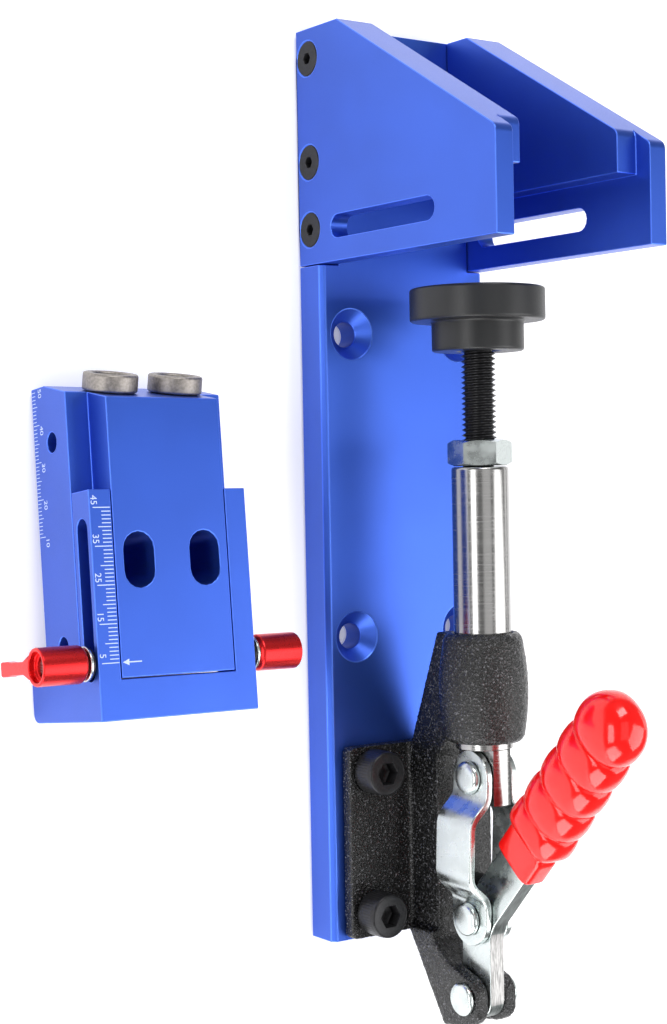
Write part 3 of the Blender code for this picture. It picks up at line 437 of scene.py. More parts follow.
def softened(profile, radius, steps=4):
    """Profile whose inner corners become arcs. Each arc is a quadratic curve from one radius before the
    corner, or 0.45 of the side if that is less, to as far after it, with the corner as its middle handle."""
    profile = [np.array(point, float) for point in profile]
    made = [profile[0]]
    share = np.linspace(0, 1, steps + 1)[:, None]
    for before, here, after in zip(profile, profile[1:], profile[2:]):
        reach_in = min(radius, np.linalg.norm(here - before) * 0.45)
        reach_out = min(radius, np.linalg.norm(after - here) * 0.45)
        start = here + (before - here) / np.linalg.norm(before - here) * reach_in
        end = here + (after - here) / np.linalg.norm(after - here) * reach_out
        made += list((1 - share) ** 2 * start + 2 * share * (1 - share) * here + share ** 2 * end)
    return made + [profile[-1]]


def angles(steps=ROUND):
    return np.linspace(0, 2 * np.pi, steps, endpoint=False)


def flats(across, steps=ROUND):
    """Radius of a hexagon at each angle: half its width over the cosine of the angle from the next flat."""
    offset = (angles(steps) + np.pi / 6) % (np.pi / 3) - np.pi / 6
    return across / 2 / np.cos(offset)


def revolved(name, rows, origin, axis, zero, steps=ROUND, ring=False):
    """Surface of revolution: origin + height * axis + radius * (zero cos a + side sin a). A row's radius and
    height are numbers, or arrays over the angles where the section isn't round."""
    axis, zero = np.array(axis, float), np.array(zero, float)
    zero = zero - axis * (zero @ axis)
    zero /= np.linalg.norm(zero)
    turn = angles(steps)
    spoke = np.cos(turn)[:, None] * zero + np.sin(turn)[:, None] * np.cross(axis, zero)
    radius = np.array([np.broadcast_to(row[0], turn.shape) for row in rows])[..., None]
    height = np.array([np.broadcast_to(row[1], turn.shape) for row in rows])[..., None]
    return surface(name, np.array(origin, float) + height * axis + radius * spoke, ring)


def dressed_copy(node, edge):
    """Mesh of a CAD node, with its loose triangles merged, its flats made whole and its edges broken by a
    small chamfer, which takes the second material."""
    shape = shape_of(frame["nodes"][node].data, 1e-6)
    bmesh.ops.dissolve_limit(shape, angle_limit=math.radians(1), verts=shape.verts, edges=shape.edges)
    for face in shape.faces:
        face.material_index = 0
    corners = [e for e in shape.edges if len(e.link_faces) == 2 and e.calc_face_angle() > SHARP]
    bmesh.ops.bevel(shape, geom=corners, offset=edge, offset_type="OFFSET", segments=2, profile=0.5,
                    affect="EDGES", clamp_overlap=False, material=1)
    return mesh_of(shape, node)


def block_point(x, y, z):
    """Point of the guide block's own frame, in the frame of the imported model."""
    return BLOCK_ORIGIN + x * BLOCK_X + y * BLOCK_Y + z * BLOCK_Z


def middle(node):
    low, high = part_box(node)
    return np.array((low + high) / 2)


class DRILL_OT_plates(bpy.types.Operator):
    """Back plate, cheeks, guide block and slide frame: milled aluminium with broken edges"""

    bl_idname = "drill_guide.plates"
    bl_label = "Milled Plates"

    def execute(self, context):
        bodies = {"base_plate": "station", "cheek_left": "station", "cheek_right": "station",
                  "guide_block": "station", "slide_frame": "stop_frame"}
        for node, body in bodies.items():
            mesh = dressed_copy(node, sizes().edge)
            # The chamfers take the lighter blue, a painted highlight
            add_piece(node + "_finished", mesh, body, "blue_aluminium", "blue_anodised_aluminium",
                      "blue_broken_edge", node=node)
        return {"FINISHED"}


class DRILL_OT_casting(bpy.types.Operator):
    """Clamp body: a sand casting with soft edges and a grainy skin"""

    bl_idname = "drill_guide.casting"
    bl_label = "Casting"

    VOXEL = 0.55 * MM
    ROUNDS = 5

    def execute(self, context):
        whole = mesh_of(shape_of(frame["nodes"]["clamp_body"].data, 1e-6), "casting_core")
        core = new_object("casting_core", whole)
        remesh = core.modifiers.new("Remesh", "REMESH")
        remesh.mode = "VOXEL"
        remesh.voxel_size = self.VOXEL
        smooth = core.modifiers.new("Smooth", "SMOOTH")
        smooth.factor = 0.5
        smooth.iterations = self.ROUNDS
        skin = bpy.data.textures.new("cast_skin", "CLOUDS")
        skin.noise_scale = sizes().cast_grain
        skin.noise_depth = 2
        relief = core.modifiers.new("Relief", "DISPLACE")
        relief.texture = skin
        relief.texture_coords = "LOCAL"
        relief.strength = sizes().cast_relief
        relief.mid_level = 0.6
        add_piece("casting", baked(core), "station", "black_casting", "black_cast_enamel", node="clamp_body")
        return {"FINISHED"}


class DRILL_OT_screws(bpy.types.Operator):
    """Countersunk screws in the cheeks and cap screws in the casting's flange"""

    bl_idname = "drill_guide.screws"
    bl_label = "Screws"

    COUNTERSUNK_KEY = 3.0 * MM
    COUNTERSUNK_SHANK = 2.5 * MM
    CAP_KEY = 6.0 * MM
    CAP_SHANK = 4.0 * MM
    CAP_RISE = 8.0 * MM
    KNURL_DEPTH = 0.09 * MM

    def countersunk(self, node):
        """Turned head and shank; the socket is a hexagon. Rows run from the socket's floor over the face."""
        low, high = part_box(node)
        side = -1.0 if low.x < 0 else 1.0
        outer = high.x if side > 0 else -low.x
        head = (high.y - low.y) / 2
        key = flats(self.COUNTERSUNK_KEY)
        neck = head - self.COUNTERSUNK_SHANK
        rows = [(key * 0.6, -2.6 * MM), (key, -2.2 * MM), (key, -0.15 * MM), (key * 1.06, 0.0)]
        rows += [(head - 0.25 * MM, 0.0), (head, -0.2 * MM)]
        rows += [(head - neck, -neck), (head - neck, low.x - high.x)]
        origin = (side * outer, (low.y + high.y) / 2, (low.z + high.z) / 2)
        mesh = revolved(node, rows, origin, X * side, Y)
        add_piece(node + "_finished", mesh, "station", *OXIDE, node=node)

    def cap(self, node):
        """Turned head with fine ridges round it, its rim rounded, over a plain shank."""
        low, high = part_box(node)
        head = (high.x - low.x) / 2
        steps = sizes().knurls * 4
        key = flats(self.CAP_KEY, steps)
        ridge = head - self.KNURL_DEPTH * (0.5 - 0.5 * np.cos(sizes().knurls * angles(steps)))
        rows = [(key * 0.5, -4.6 * MM), (key, -4.0 * MM), (key, -0.25 * MM), (key * 1.05, 0.0)]
        edge = head - 0.15 * MM
        rim = softened([(key.max() * 1.1, 0.0), (edge, 0.0), (edge, -1.4 * MM)], 0.9 * MM)
        rows += rim
        rows += [(ridge, -1.7 * MM), (ridge, -self.CAP_RISE + 0.3 * MM), (head - 0.3 * MM, -self.CAP_RISE)]
        rows += [(self.CAP_SHANK, -self.CAP_RISE), (self.CAP_SHANK, low.z - high.z)]
        origin = ((low.x + high.x) / 2, (low.y + high.y) / 2, high.z)
        mesh = revolved(node, rows, origin, Z, Y, steps)
        add_piece(node + "_finished", mesh, "station", *OXIDE, node=node)

    def execute(self, context):
        for node in frame["nodes"]:
            if node.startswith("cheek_screw"):
                self.countersunk(node)
            if node.startswith("flange_screw"):
                self.cap(node)
        return {"FINISHED"}


class DRILL_OT_plunger(bpy.types.Operator):
    """Plunger, its lock nut, the threaded spindle and the pad, all turned about the clamp's axis"""

    bl_idname = "drill_guide.plunger"
    bl_label = "Plunger"

    TONGUE_END = 49.3 * MM
    HOLE = 5.2 * MM
    HOLE_DEPTH = 10 * MM
    THREADED = 46 * MM
    ROWS_A_TURN = 14
    CREST_SHARE = 0.2
    FLANK_SHARE = 0.68
    NUT_TURN = math.radians(-39.5)
    NUT_ACROSS = 16.0 * MM
    NUT_CROWN = 7.7 * MM
    NUT_HOLE = 5.1 * MM
    PAD_THICK = 8.6 * MM
    HUB = 13.2 * MM

    def plunger(self):
        """Round bar whose tail is milled flat on both sides: there the radius is half the tongue's width over
        the cosine of the angle, up to the bar's own radius."""
        low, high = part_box("plunger")
        radius = (high.x - low.x) / 2
        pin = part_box("plunger_pin")
        tongue_half = (pin[1].x - pin[0].x) / 2 + CLEARANCE
        tongue = np.minimum(radius, tongue_half / np.maximum(np.abs(np.cos(angles())), 1e-6))
        length = high.y - low.y
        shoulder = length - (high.y - ELBOW[1]) + self.TONGUE_END
        rows = [(tongue, 0.0), (tongue, shoulder)]
        rows += [(radius - 0.2 * MM, shoulder), (radius, shoulder + 0.2 * MM)]
        rim = softened([(radius, length - 3 * MM), (radius, length), (self.HOLE, length)], 0.9 * MM)
        rows += rim
        rows += [(self.HOLE, length - self.HOLE_DEPTH)]
        mesh = revolved("plunger_bar", rows, (0, low.y, (low.z + high.z) / 2), Y, X)
        add_piece("plunger_bar", mesh, "plunger", *BRIGHT, node="plunger")

    def spindle(self):
        """Rod with a helical thread: the radius falls from the crest by a clipped triangle wave of
        (height / pitch - angle / full turn)."""
        low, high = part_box("spindle")
        crest = (high.x - low.x) / 2
        pitch = sizes().thread_pitch
        root = crest - sizes().thread_depth
        length = high.y - low.y
        start = length - self.THREADED
        heights = np.arange(start, length - 1.0 * MM, pitch / self.ROWS_A_TURN)
        phase = (heights[:, None] / pitch - angles()[None, :] / (2 * np.pi)) % 1.0
        wave = np.clip((np.abs(2 * phase - 1) - self.CREST_SHARE) / self.FLANK_SHARE, 0, 1)
        radius = crest - sizes().thread_depth * (1 - wave)
        rows = [(root, 0.0), (root, start - 0.2 * MM)]
        rows += list(zip(radius, heights))
        rows += [(root, length - 0.6 * MM), (root - 0.5 * MM, length)]
        mesh = revolved("spindle_thread", rows, (0, low.y, middle("spindle")[2]), Y, X)
        add_piece("spindle_thread", mesh, "plunger", *OXIDE, node="spindle")

    def nut(self):
        """Hexagon whose corners are cut by a 30 degree cone at both ends: where the hexagon's radius passes
        the crown, its end falls by the tangent's share of the difference."""
        low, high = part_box("lock_nut")
        hexagon = flats(self.NUT_ACROSS)
        crown = self.NUT_CROWN
        hole = self.NUT_HOLE
        length = high.y - low.y
        fall = np.maximum(hexagon - crown, 0) * math.tan(math.radians(30))
        rows = [(hole, length - 0.5 * MM), (hole + 0.6 * MM, length), (crown, length)]
        rows += [(hexagon, length - fall), (hexagon, fall)]
        rows += [(crown, 0.0), (hole + 0.6 * MM, 0.0), (hole, 0.5 * MM)]
        zero = Z * math.cos(self.NUT_TURN) + X * math.sin(self.NUT_TURN)
        mesh = revolved("nut", rows, (0, low.y, middle("lock_nut")[2]), Y, zero, ring=True)
        add_piece("nut", mesh, "plunger", *ZINC, node="lock_nut")

    def pad(self):
        """Turned disc with soft rims, a shallow dish in its face and a hub behind it."""
        low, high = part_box("clamp_pad")
        rim = (high.x - low.x) / 2
        length = high.y - low.y
        dish = length - 0.35 * MM
        face = [(1.0 * MM, dish), (rim - 3.2 * MM, dish), (rim - 2.4 * MM, length), (rim, length)]
        face += [(rim, self.PAD_THICK), (self.HUB, self.PAD_THICK), (self.HUB, 0.0), (6.4 * MM, 0.0)]
        face += [(self.HOLE, 0.9 * MM), (self.HOLE, 3 * MM)]
        rows = softened(face, 0.9 * MM, 5)
        mesh = revolved("pad", rows, (0, low.y, middle("clamp_pad")[2]), Y, X, steps=144)
        add_piece("pad", mesh, "plunger", "black_plastic", "black_moulded_polymer", node="clamp_pad")

    def pin(self):
        low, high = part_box("plunger_pin")
        radius = (high.y - low.y) / 2
        core = radius - 1 * MM
        length = high.x - low.x
        rim = softened([(core, 0.0), (radius, 0.0), (radius, length), (core, length)], 0.3 * MM)
        centre = (low + high) / 2
        mesh = revolved("tongue_pin", rim, (low.x, centre.y, centre.z), X, Y)
        add_piece("tongue_pin", mesh, "plunger", *ZINC, node="plunger_pin")

    def execute(self, context):
        self.plunger()
        self.spindle()
        self.nut()
        self.pad()
        self.pin()
        return {"FINISHED"}


class DRILL_OT_links(bpy.types.Operator):
    """Bowed links, and the rivets at the clamp's pivots"""

    bl_idname = "drill_guide.links"
    bl_label = "Links and Rivets"

    THICK = 2.2 * MM
    HALF_WIDTH = 7.7 * MM
    LENGTH = 41.26 * MM
    TILT = math.radians(3.06)
    BEND = 2.6 * MM
    # A strap's inner face is this far from the clamp's middle: at the elbow, between, and at the tongue
    ELBOW_FACE = 2.9 * MM
    BULGE = 9.4 * MM
    TONGUE_FACE = 3.5 * MM
    # The solids' rivets stand this far out of their seats
    SOLID_DOME = 1.5 * MM
    HEAD = 4.8 * MM
    SHANK = 3.0 * MM
    DOME = 2.1 * MM
    PASSED_DOME = 1.7 * MM

    def strap_line(self):
        """Middle line of a strap: offset from the clamp's middle against the place along it, with its four
        bends as arcs, sampled every 0.3 mm and closely at its round ends."""
        low, high, joggle = 0.15 * self.LENGTH, 0.85 * self.LENGTH, 5.5 * MM
        corners = [(-self.HALF_WIDTH, self.ELBOW_FACE), (low, self.ELBOW_FACE), (low + joggle, self.BULGE)]
        corners += [(high - joggle, self.BULGE), (high, self.TONGUE_FACE)]
        corners += [(self.LENGTH + self.HALF_WIDTH, self.TONGUE_FACE)]
        line = np.array(softened(corners, self.BEND, 10))
        first, last = line[0, 0], line[-1, 0]
        ramp = (1 - np.cos(np.linspace(0, np.pi / 2, 14))) * self.HALF_WIDTH
        inner = np.arange(first + self.HALF_WIDTH, last - self.HALF_WIDTH, 0.3 * MM)
        along = np.concatenate([first + ramp, inner[1:], last - ramp[::-1]])
        along[0] += 0.02 * MM
        along[-1] -= 0.02 * MM
        return along, np.interp(along, line[:, 0], line[:, 1]) + self.THICK / 2

    def strap(self, name, side):
        """Rounded rectangle carried along the middle line. Its half width is the strap's, and at either end
        the chord of a circle: the root of (radius squared - distance past the circle's centre squared)."""
        along, offset = self.strap_line()
        slope = np.gradient(offset, along)
        lean = np.hypot(1, slope)
        past = np.maximum(np.maximum(-along, along - self.LENGTH), 0)
        wide = np.sqrt(np.maximum(self.HALF_WIDTH ** 2 - past ** 2, 1e-12))
        corner = 0.5 * MM
        edge = np.minimum(corner, wide * 0.4)
        turn = angles(40)
        corner_x = np.sign(np.cos(turn)) * (self.THICK / 2 - corner) + np.cos(turn) * corner
        corner_y = np.sign(np.sin(turn)) * (wide - edge)[:, None] + np.sin(turn) * edge[:, None]
        out = offset[:, None] + corner_x[None, :] / lean[:, None]
        far = along[:, None] - corner_x[None, :] * (slope / lean)[:, None]
        ahead = Y * math.cos(self.TILT) + Z * math.sin(self.TILT)
        across = Z * math.cos(self.TILT) - Y * math.sin(self.TILT)
        grid = ELBOW + far[..., None] * ahead + corner_y[..., None] * across + (side * out)[..., None] * X
        add_piece(name + "_strap", surface(name, grid), "links", *ZINC, node=name)

    def rivet_face(self, seat, dome):
        """Profile of a set rivet: a low dome with a small flat crown and a soft rim."""
        shape = [(0.99, 0.0), (1.0, 0.1), (0.99, 0.42), (0.94, 0.66), (0.84, 0.83), (0.7, 0.93), (0.55, 0.98)]
        shape += [(0.4, 1.0), (0.05, 1.0)]
        return [(self.HEAD * out, seat + dome * up) for out, up in shape]

    def rivets(self):
        """Rivets turned about their pivots; a through rivet has a head at both sides. The swung links' bulges
        pass the tail rivet's heads, so these are lower."""
        through = [("tail_rivet", "station", TAIL_PIVOT, self.PASSED_DOME)]
        through += [("elbow_rivet", "handle", ELBOW, self.DOME)]
        for name, body, place, dome in through:
            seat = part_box(name)[1].x - self.SOLID_DOME
            half = self.rivet_face(seat, dome)
            rows = half[::-1] + [(self.SHANK, seat), (self.SHANK, -seat)] + [(r, -h) for r, h in half]
            mesh = revolved(name, rows, place, X, Y, 64)
            add_piece(name + "_set", mesh, body, *ZINC, node=name)
        for side, label in ((-1, "left"), (1, "right")):
            name = "link_rivet_" + label
            low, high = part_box(name)
            near, far = sorted([abs(low.x), abs(high.x)])
            seat = far - self.SOLID_DOME
            rows = self.rivet_face(seat, self.DOME)[::-1] + [(self.SHANK, seat), (self.SHANK, near)]
            mesh = revolved(name, rows, (0, *middle(name)[1:]), X * side, Y, 64)
            add_piece(name + "_set", mesh, "links", *ZINC, node=name)

    def execute(self, context):
        self.strap("link_left", -1)
        self.strap("link_right", 1)
        self.rivets()
        return {"FINISHED"}


class DRILL_OT_handle(bpy.types.Operator):
    """Handle bar and its dipped grip"""

    bl_idname = "drill_guide.handle"
    bl_label = "Handle"

    BEND = math.radians(42)
    # The arm's middle line starts this far from the elbow in Y and Z, and places along it count from there
    START = (4.3 * MM, 4.5 * MM)
    COLLAR = (18.7 * MM, 28.7 * MM)
    BULGES = (34.1 * MM, 44.3 * MM, 54.5 * MM, 64.8 * MM, 75.1 * MM)
    CREASE = 0.86
    TIP = 85.38 * MM
    HALF_WIDTH = 10.47 * MM
    HALF_THICK = 8.4 * MM
    ARM_HALF_WIDTH = 6.3 * MM
    BAR_HALF = 2.6 * MM
    BAR_LENGTH = 76.0 * MM
    COLLAR_HALF_WIDTH = 7.9 * MM
    COLLAR_HALF_THICK = 4.4 * MM

    def swell(self, along):
        """How full the grip is at a place along it: over each finger bulge a half circle that rises from the
        crease's share to 1, and past the last bulge a quarter ellipse down to the tip."""
        bulges = np.array(self.BULGES)
        pitch = (bulges[-1] - bulges[0]) / (len(bulges) - 1)
        offset = np.abs(along[:, None] - bulges[None, :]).min(axis=1) / (pitch / 2)
        finger = self.CREASE + (1 - self.CREASE) * np.sqrt(np.clip(1.02 - offset ** 2, 0, None))
        past = np.clip((along - bulges[-1]) / (self.TIP - bulges[-1]), 0, 1)
        tip = np.sqrt(1 - past ** 2)
        return np.where(along > bulges[-1], tip, finger)

    def grip(self):
        """Rings of |cos| and |sin| raised to 2 / power, which is 5 at the flat collar and 2.3 at the bulges.
        The lip is a shallow groove where the collar ends, and the mouth's rim is drawn in."""
        low, high = self.COLLAR
        first = self.BULGES[0]
        sweep = (1 - np.cos(np.linspace(0, np.pi / 2, 24)))[::-1]
        along = np.concatenate([
            low + (high - low) * (1 - np.cos(np.linspace(0, np.pi, 24))) / 2,
            np.linspace(high, first, 26)[1:],
            np.linspace(first, self.BULGES[-1], 190)[1:],
            self.TIP - (self.TIP - self.BULGES[-1]) * sweep[1:],
        ])
        along[-1] -= 0.002 * MM
        share = np.clip((along - high) / (first - high), 0, 1)
        rise = np.sin(np.pi / 2 * share)
        lip = 0.5 * MM * np.exp(-((along - high) / (1.1 * MM)) ** 2)
        mouth = 0.7 * MM * np.clip(1 - (along - low) / (0.8 * MM), 0, 1) ** 2
        body = self.swell(np.maximum(along, first))
        wide = self.COLLAR_HALF_WIDTH + (self.HALF_WIDTH * body - self.COLLAR_HALF_WIDTH) * rise - lip - mouth
        thick = self.COLLAR_HALF_THICK + (self.HALF_THICK * body - self.COLLAR_HALF_THICK) * rise - mouth
        power = (5.0 - 2.7 * rise)[:, None]
        turn = angles()[None, :]
        out = thick[:, None] * np.sign(np.cos(turn)) * np.abs(np.cos(turn)) ** (2 / power)
        side = wide[:, None] * np.sign(np.sin(turn)) * np.abs(np.sin(turn)) ** (2 / power)
        ahead = Y * math.cos(self.BEND) + Z * math.sin(self.BEND)
        across = Z * math.cos(self.BEND) - Y * math.sin(self.BEND)
        start = ELBOW + Y * self.START[0] + Z * self.START[1]
        grid = start + along[:, None, None] * ahead + side[..., None] * across + out[..., None] * X
        add_piece("grip", surface("grip", grid), "handle", "red_vinyl", "red_dipped_vinyl",
                  node="handle_grip")

    def bar_outline(self):
        """Side view in Y and Z: a half circle about the tail pivot, then the arm's front edge, its end, its
        rear edge and the bends between them."""
        half = self.ARM_HALF_WIDTH
        ahead = np.array([math.cos(self.BEND), math.sin(self.BEND)])
        across = np.array([-math.sin(self.BEND), math.cos(self.BEND)])
        start = ELBOW[1:] + np.array(self.START)
        front, rear = start + across * half, start - across * half
        top, low = ELBOW[2] + half, ELBOW[2] - half
        front_bend = front + ahead * (top - front[1]) / ahead[1]
        rear_bend = rear + ahead * (low - rear[1]) / ahead[1]
        path = [(TAIL_PIVOT[1], top), front_bend, front + ahead * self.BAR_LENGTH]
        path += [rear + ahead * self.BAR_LENGTH, rear_bend, (TAIL_PIVOT[1], low)]
        turn = np.linspace(-np.pi / 2, -3 * np.pi / 2, 33)[1:-1]
        tail = TAIL_PIVOT[1:] + half * np.stack([np.cos(turn), np.sin(turn)], axis=1)
        return np.vstack([tail, softened(path, 4.0 * MM, 12)])

    def bar(self):
        """Outline drawn in along its normals where the thickness ends, over a quarter circle: by
        edge * (1 - sin a) at the place half - edge + edge * cos a. The shorn band takes its own finishes:
        where it slants along the arm a darker copy, which is painted shade, and elsewhere the steel's own
        colour."""
        outline = self.bar_outline()
        ahead = np.roll(outline, -1, axis=0)
        run = ahead - np.roll(outline, 1, axis=0)
        run /= np.linalg.norm(run, axis=1)[:, None]
        turns = np.sign(np.sum(outline[:, 0] * ahead[:, 1] - outline[:, 1] * ahead[:, 0]))
        inward = turns * np.stack([-run[:, 1], run[:, 0]], axis=1)
        edge = sizes().bar_edge
        turn = np.linspace(0, np.pi / 2, 5)
        place = self.BAR_HALF - edge + edge * np.cos(turn)
        draw = edge * (1 - np.sin(turn))
        place, draw = np.concatenate([place, -place[::-1]]), np.concatenate([draw, draw[::-1]])
        side_view = outline[None] + draw[:, None, None] * inward[None]
        thickness = np.broadcast_to(place[:, None, None], side_view.shape[:2] + (1,))
        mesh = surface("handle_bar", np.concatenate([thickness, side_view], axis=2))
        add_piece("handle_bar_finished", mesh, "handle", *ZINC, "sheared_zinc_edge",
                  "bare_steel_edge", node="handle_bar")
        normals = np.empty(len(mesh.polygons) * 3)
        mesh.polygons.foreach_get("normal", normals)
        on_band = np.abs(normals[::3]) < 0.5
        # Band faces that slant along the arm take the darker copy: painted shade
        painted_shade_slant = normals[1::3] < -0.3
        mesh.polygons.foreach_set("material_index", (on_band * np.where(painted_shade_slant, 1, 2)).astype(np.int32))

    def execute(self, context):
        self.bar()
        self.grip()
        return {"FINISHED"}


class DRILL_OT_bushes(bpy.types.Operator):
    """Drill bushes, lock knobs with their studs and washers"""

    bl_idname = "drill_guide.bushes"
    bl_label = "Bushes and Knobs"

    BORE_ANGLE = math.radians(15)
    BORE = 4.85 * MM
    SLEEVE = 6.2 * MM
    COLLAR = 7.4 * MM
    COLLAR_HEIGHT = 4.8 * MM
    SLEEVE_LENGTH = 20.0 * MM
    # Where the right bore's axis leaves the block's top, in the block's own frame
    MOUTH = (9.9 * MM, 75.77 * MM, 18.7 * MM)
    STUD = (9.8 * MM, 36.85 * MM)
    STUD_RADIUS = 2.5 * MM
    WASHER_HOLE = 2.8
    # Kind, its two faces from the block and its radius in mm, slot and finish
    WASHERS = (("spring", 0.0, 0.75, 4.2, OXIDE), ("flat", 0.8, 1.6, 4.6, ZINC))

    def bush(self, node, side):
        """Turned sleeve and collar about the slanting bore, with rounded rims and a bell mouth."""
        top = CLEARANCE + self.COLLAR_HEIGHT
        profile = [(self.BORE, -self.SLEEVE_LENGTH + 1 * MM), (self.BORE, -self.SLEEVE_LENGTH)]
        profile += [(self.SLEEVE, -self.SLEEVE_LENGTH), (self.SLEEVE, CLEARANCE), (self.COLLAR, CLEARANCE)]
        profile += [(self.COLLAR, top), (self.BORE + 0.1 * MM, top), (self.BORE, top - 2.0 * MM)]
        axis = BLOCK_Y * math.cos(self.BORE_ANGLE) + BLOCK_Z * math.sin(self.BORE_ANGLE)
        origin = block_point(side * self.MOUTH[0], *self.MOUTH[1:])
        mesh = revolved(node, softened(profile, 0.8 * MM, 5), origin, axis, X, ring=True)
        add_piece(node + "_finished", mesh, "station", "bright_steel", "hardened_steel", node=node)

    def knob(self, side, label):
        """Knob and lever keep the solid's shape with soft edges; the stud and the washers are turned."""
        body = "knob_" + label
        mesh = dressed_copy(body, 0.35 * MM)
        add_piece(body + "_finished", mesh, body, "red_aluminium", "red_anodised_aluminium",
                  "red_anodised_aluminium", node=body)
        face = BLOCK_HALF_WIDTH + CLEARANCE
        centre = block_point(0, KNOB_Y, KNOB_Z)
        node = "knob_washer_" + label
        hole = self.WASHER_HOLE
        for kind, low, high, out, coat in self.WASHERS:
            half = (low + high) / 2
            ring = [(hole, half), (hole, low), (out, low), (out, high), (hole, high), (hole, half + 0.05)]
            rows = [(radius * MM, height * MM + face) for radius, height in softened(ring, 0.25)]
            mesh = revolved(node, rows, centre, BLOCK_X * side, BLOCK_Y, ring=True)
            add_piece(node + "_" + kind, mesh, body, *coat, node=node)
        node = "knob_stud_" + label
        start, end = self.STUD
        radius = self.STUD_RADIUS
        rows = [(2.0 * MM, start), (radius, start + 0.5 * MM), (radius, end - 0.6 * MM), (1.9 * MM, end)]
        mesh = revolved(node, rows, centre, BLOCK_X * side, BLOCK_Y, 48)
        add_piece(node + "_finished", mesh, body, *BRIGHT, node=node)

    def execute(self, context):
        for side, label in ((-1, "left"), (1, "right")):
            self.bush("drill_bush_" + label, side)
            self.knob(side, label)
        return {"FINISHED"}


class DRILL_OT_scales(bpy.types.Operator):
    """Millimetre scales and the arrow, laser-marked in white"""

    bl_idname = "drill_guide.scales"
    bl_label = "Scales"

    RIDGE = 17.0 * MM
    ARM_INNER = 17.3 * MM
    FACE = 29.3 * MM
    INSET = 0.35 * MM
    # The side scale reads from this far below the block's own zero, with finer lines than the arm's
    SIDE_ZERO = 28.7
    SIDE_LINE = 0.8

    def bars(self, name, centres, halves, body):
        """Flat bars on a face of the block: centre plus and minus the half size along each axis, as boxes."""
        signs = np.array([[a, b, c] for c in (-1, 1) for b in (-1, 1) for a in (-1, 1)], float)
        local = centres[:, None, :] + halves[:, None, :] * signs[None, :, :]
        points = BLOCK_ORIGIN + local @ np.array([BLOCK_X, BLOCK_Y, BLOCK_Z])
        box = np.array([(0, 1, 3, 2), (4, 6, 7, 5), (0, 4, 5, 1), (2, 3, 7, 6), (0, 2, 6, 4), (1, 5, 7, 3)])
        faces = (np.arange(len(centres))[:, None, None] * 8 + box[None]).reshape(-1, 4)
        mesh = bpy.data.meshes.new(name)
        mesh.from_pydata(points.reshape(-1, 3), [], faces[:, ::-1].tolist())
        add_piece(name, mesh, body, *MARKING)

    def numbers(self, name, items, right, up, out, body):
        """Plain numbers, made a mesh first and then set on their face by one matrix each."""
        whole = bmesh.new()
        for text, place in items:
            curve = bpy.data.curves.new("digits", "FONT")
            curve.body = text
            curve.size = sizes().digit
            curve.align_x = "CENTER"
            curve.align_y = "CENTER"
            curve.extrude = sizes().mark_height
            flat = baked(new_object("digits", curve))
            turn = Matrix([list(right), list(up), list(out)]).transposed().to_4x4()
            flat.transform(Matrix.Translation(Vector(block_point(*place))) @ turn)
            whole.from_mesh(flat)
        add_piece(name, mesh_of(whole, name), body, *MARKING)

    def half_lengths(self, marks, tenth, lengths):
        """Half of each mark's length: the first for every tenth mark, the second for the other fifths."""
        most, fifth, least = lengths
        return np.where(marks % 10 == tenth, most, np.where(marks % 5 == 0, fifth, least)) * MM / 2

    def arm_scale(self):
        """Marks 5 to 45 on the slide frame's left arm; every tenth from 5 is longest and has its number."""
        marks = np.arange(5, 46)
        half = self.half_lengths(marks, 5, (5.0, 3.7, 2.6))
        place = (marks - 1) * MM
        inner = -self.ARM_INNER - self.INSET
        every = np.ones(len(marks))
        centres = np.stack([inner - half, place, every * self.FACE], axis=1)
        wide = sizes().mark_width / 2
        halves = np.stack([half, every * wide, every * sizes().mark_height], axis=1)
        self.bars("arm_scale", centres, halves, "stop_frame")
        items = [(str(n), (inner - 4.7 * MM, (n - 1 + 1.9) * MM, self.FACE)) for n in range(5, 46, 10)]
        self.numbers("arm_numbers", items, -BLOCK_Y, BLOCK_X, BLOCK_Z, "stop_frame")

    def side_scale(self):
        """Marks 10 to 49 along the rear edge of the block's left side, with a number at every tenth."""
        marks = np.arange(10, 50)
        half = self.half_lengths(marks, 0, (3.4, 2.8, 2.0))
        place = (marks + self.SIDE_ZERO) * MM
        side = -BLOCK_HALF_WIDTH
        every = np.ones(len(marks))
        centres = np.stack([every * side, place, half + 0.4 * MM], axis=1)
        wide = sizes().mark_width / 2 * self.SIDE_LINE
        halves = np.stack([every * sizes().mark_height, every * wide, half], axis=1)
        self.bars("side_scale", centres, halves, "station")
        items = [(str(n), (side, (n + self.SIDE_ZERO - 1.6) * MM, 4.9 * MM)) for n in range(10, 51, 10)]
        self.numbers("side_numbers", items, -BLOCK_Y, BLOCK_Z, -BLOCK_X, "station")

    def arrow(self):
        """Arrow on the ridge beside mark 5: a triangle and its shaft as one outline, given some height."""
        tip = -self.RIDGE + self.INSET
        head, tail, wing, shaft = 1.9 * MM, 5.6 * MM, 0.85 * MM, 0.16 * MM
        outline = [(0, 0), (head, wing), (head, shaft), (tail, shaft)]
        outline += [(tail, -shaft), (head, -shaft), (head, -wing)]
        high = self.FACE + sizes().mark_height
        low = self.FACE - sizes().mark_height
        points = [block_point(tip + a, 4.0 * MM + b, z) for z in (low, high) for a, b in outline]
        count = len(outline)
        ring = np.arange(count)
        walls = np.stack([ring, np.roll(ring, -1), np.roll(ring, -1) + count, ring + count], axis=1).tolist()
        mesh = closed_mesh("arrow", points, walls + [ring.tolist(), (ring + count).tolist()])
        add_piece("arrow", mesh, "station", *MARKING)

    def execute(self, context):
        self.arm_scale()
        self.side_scale()
        self.arrow()
        return {"FINISHED"}


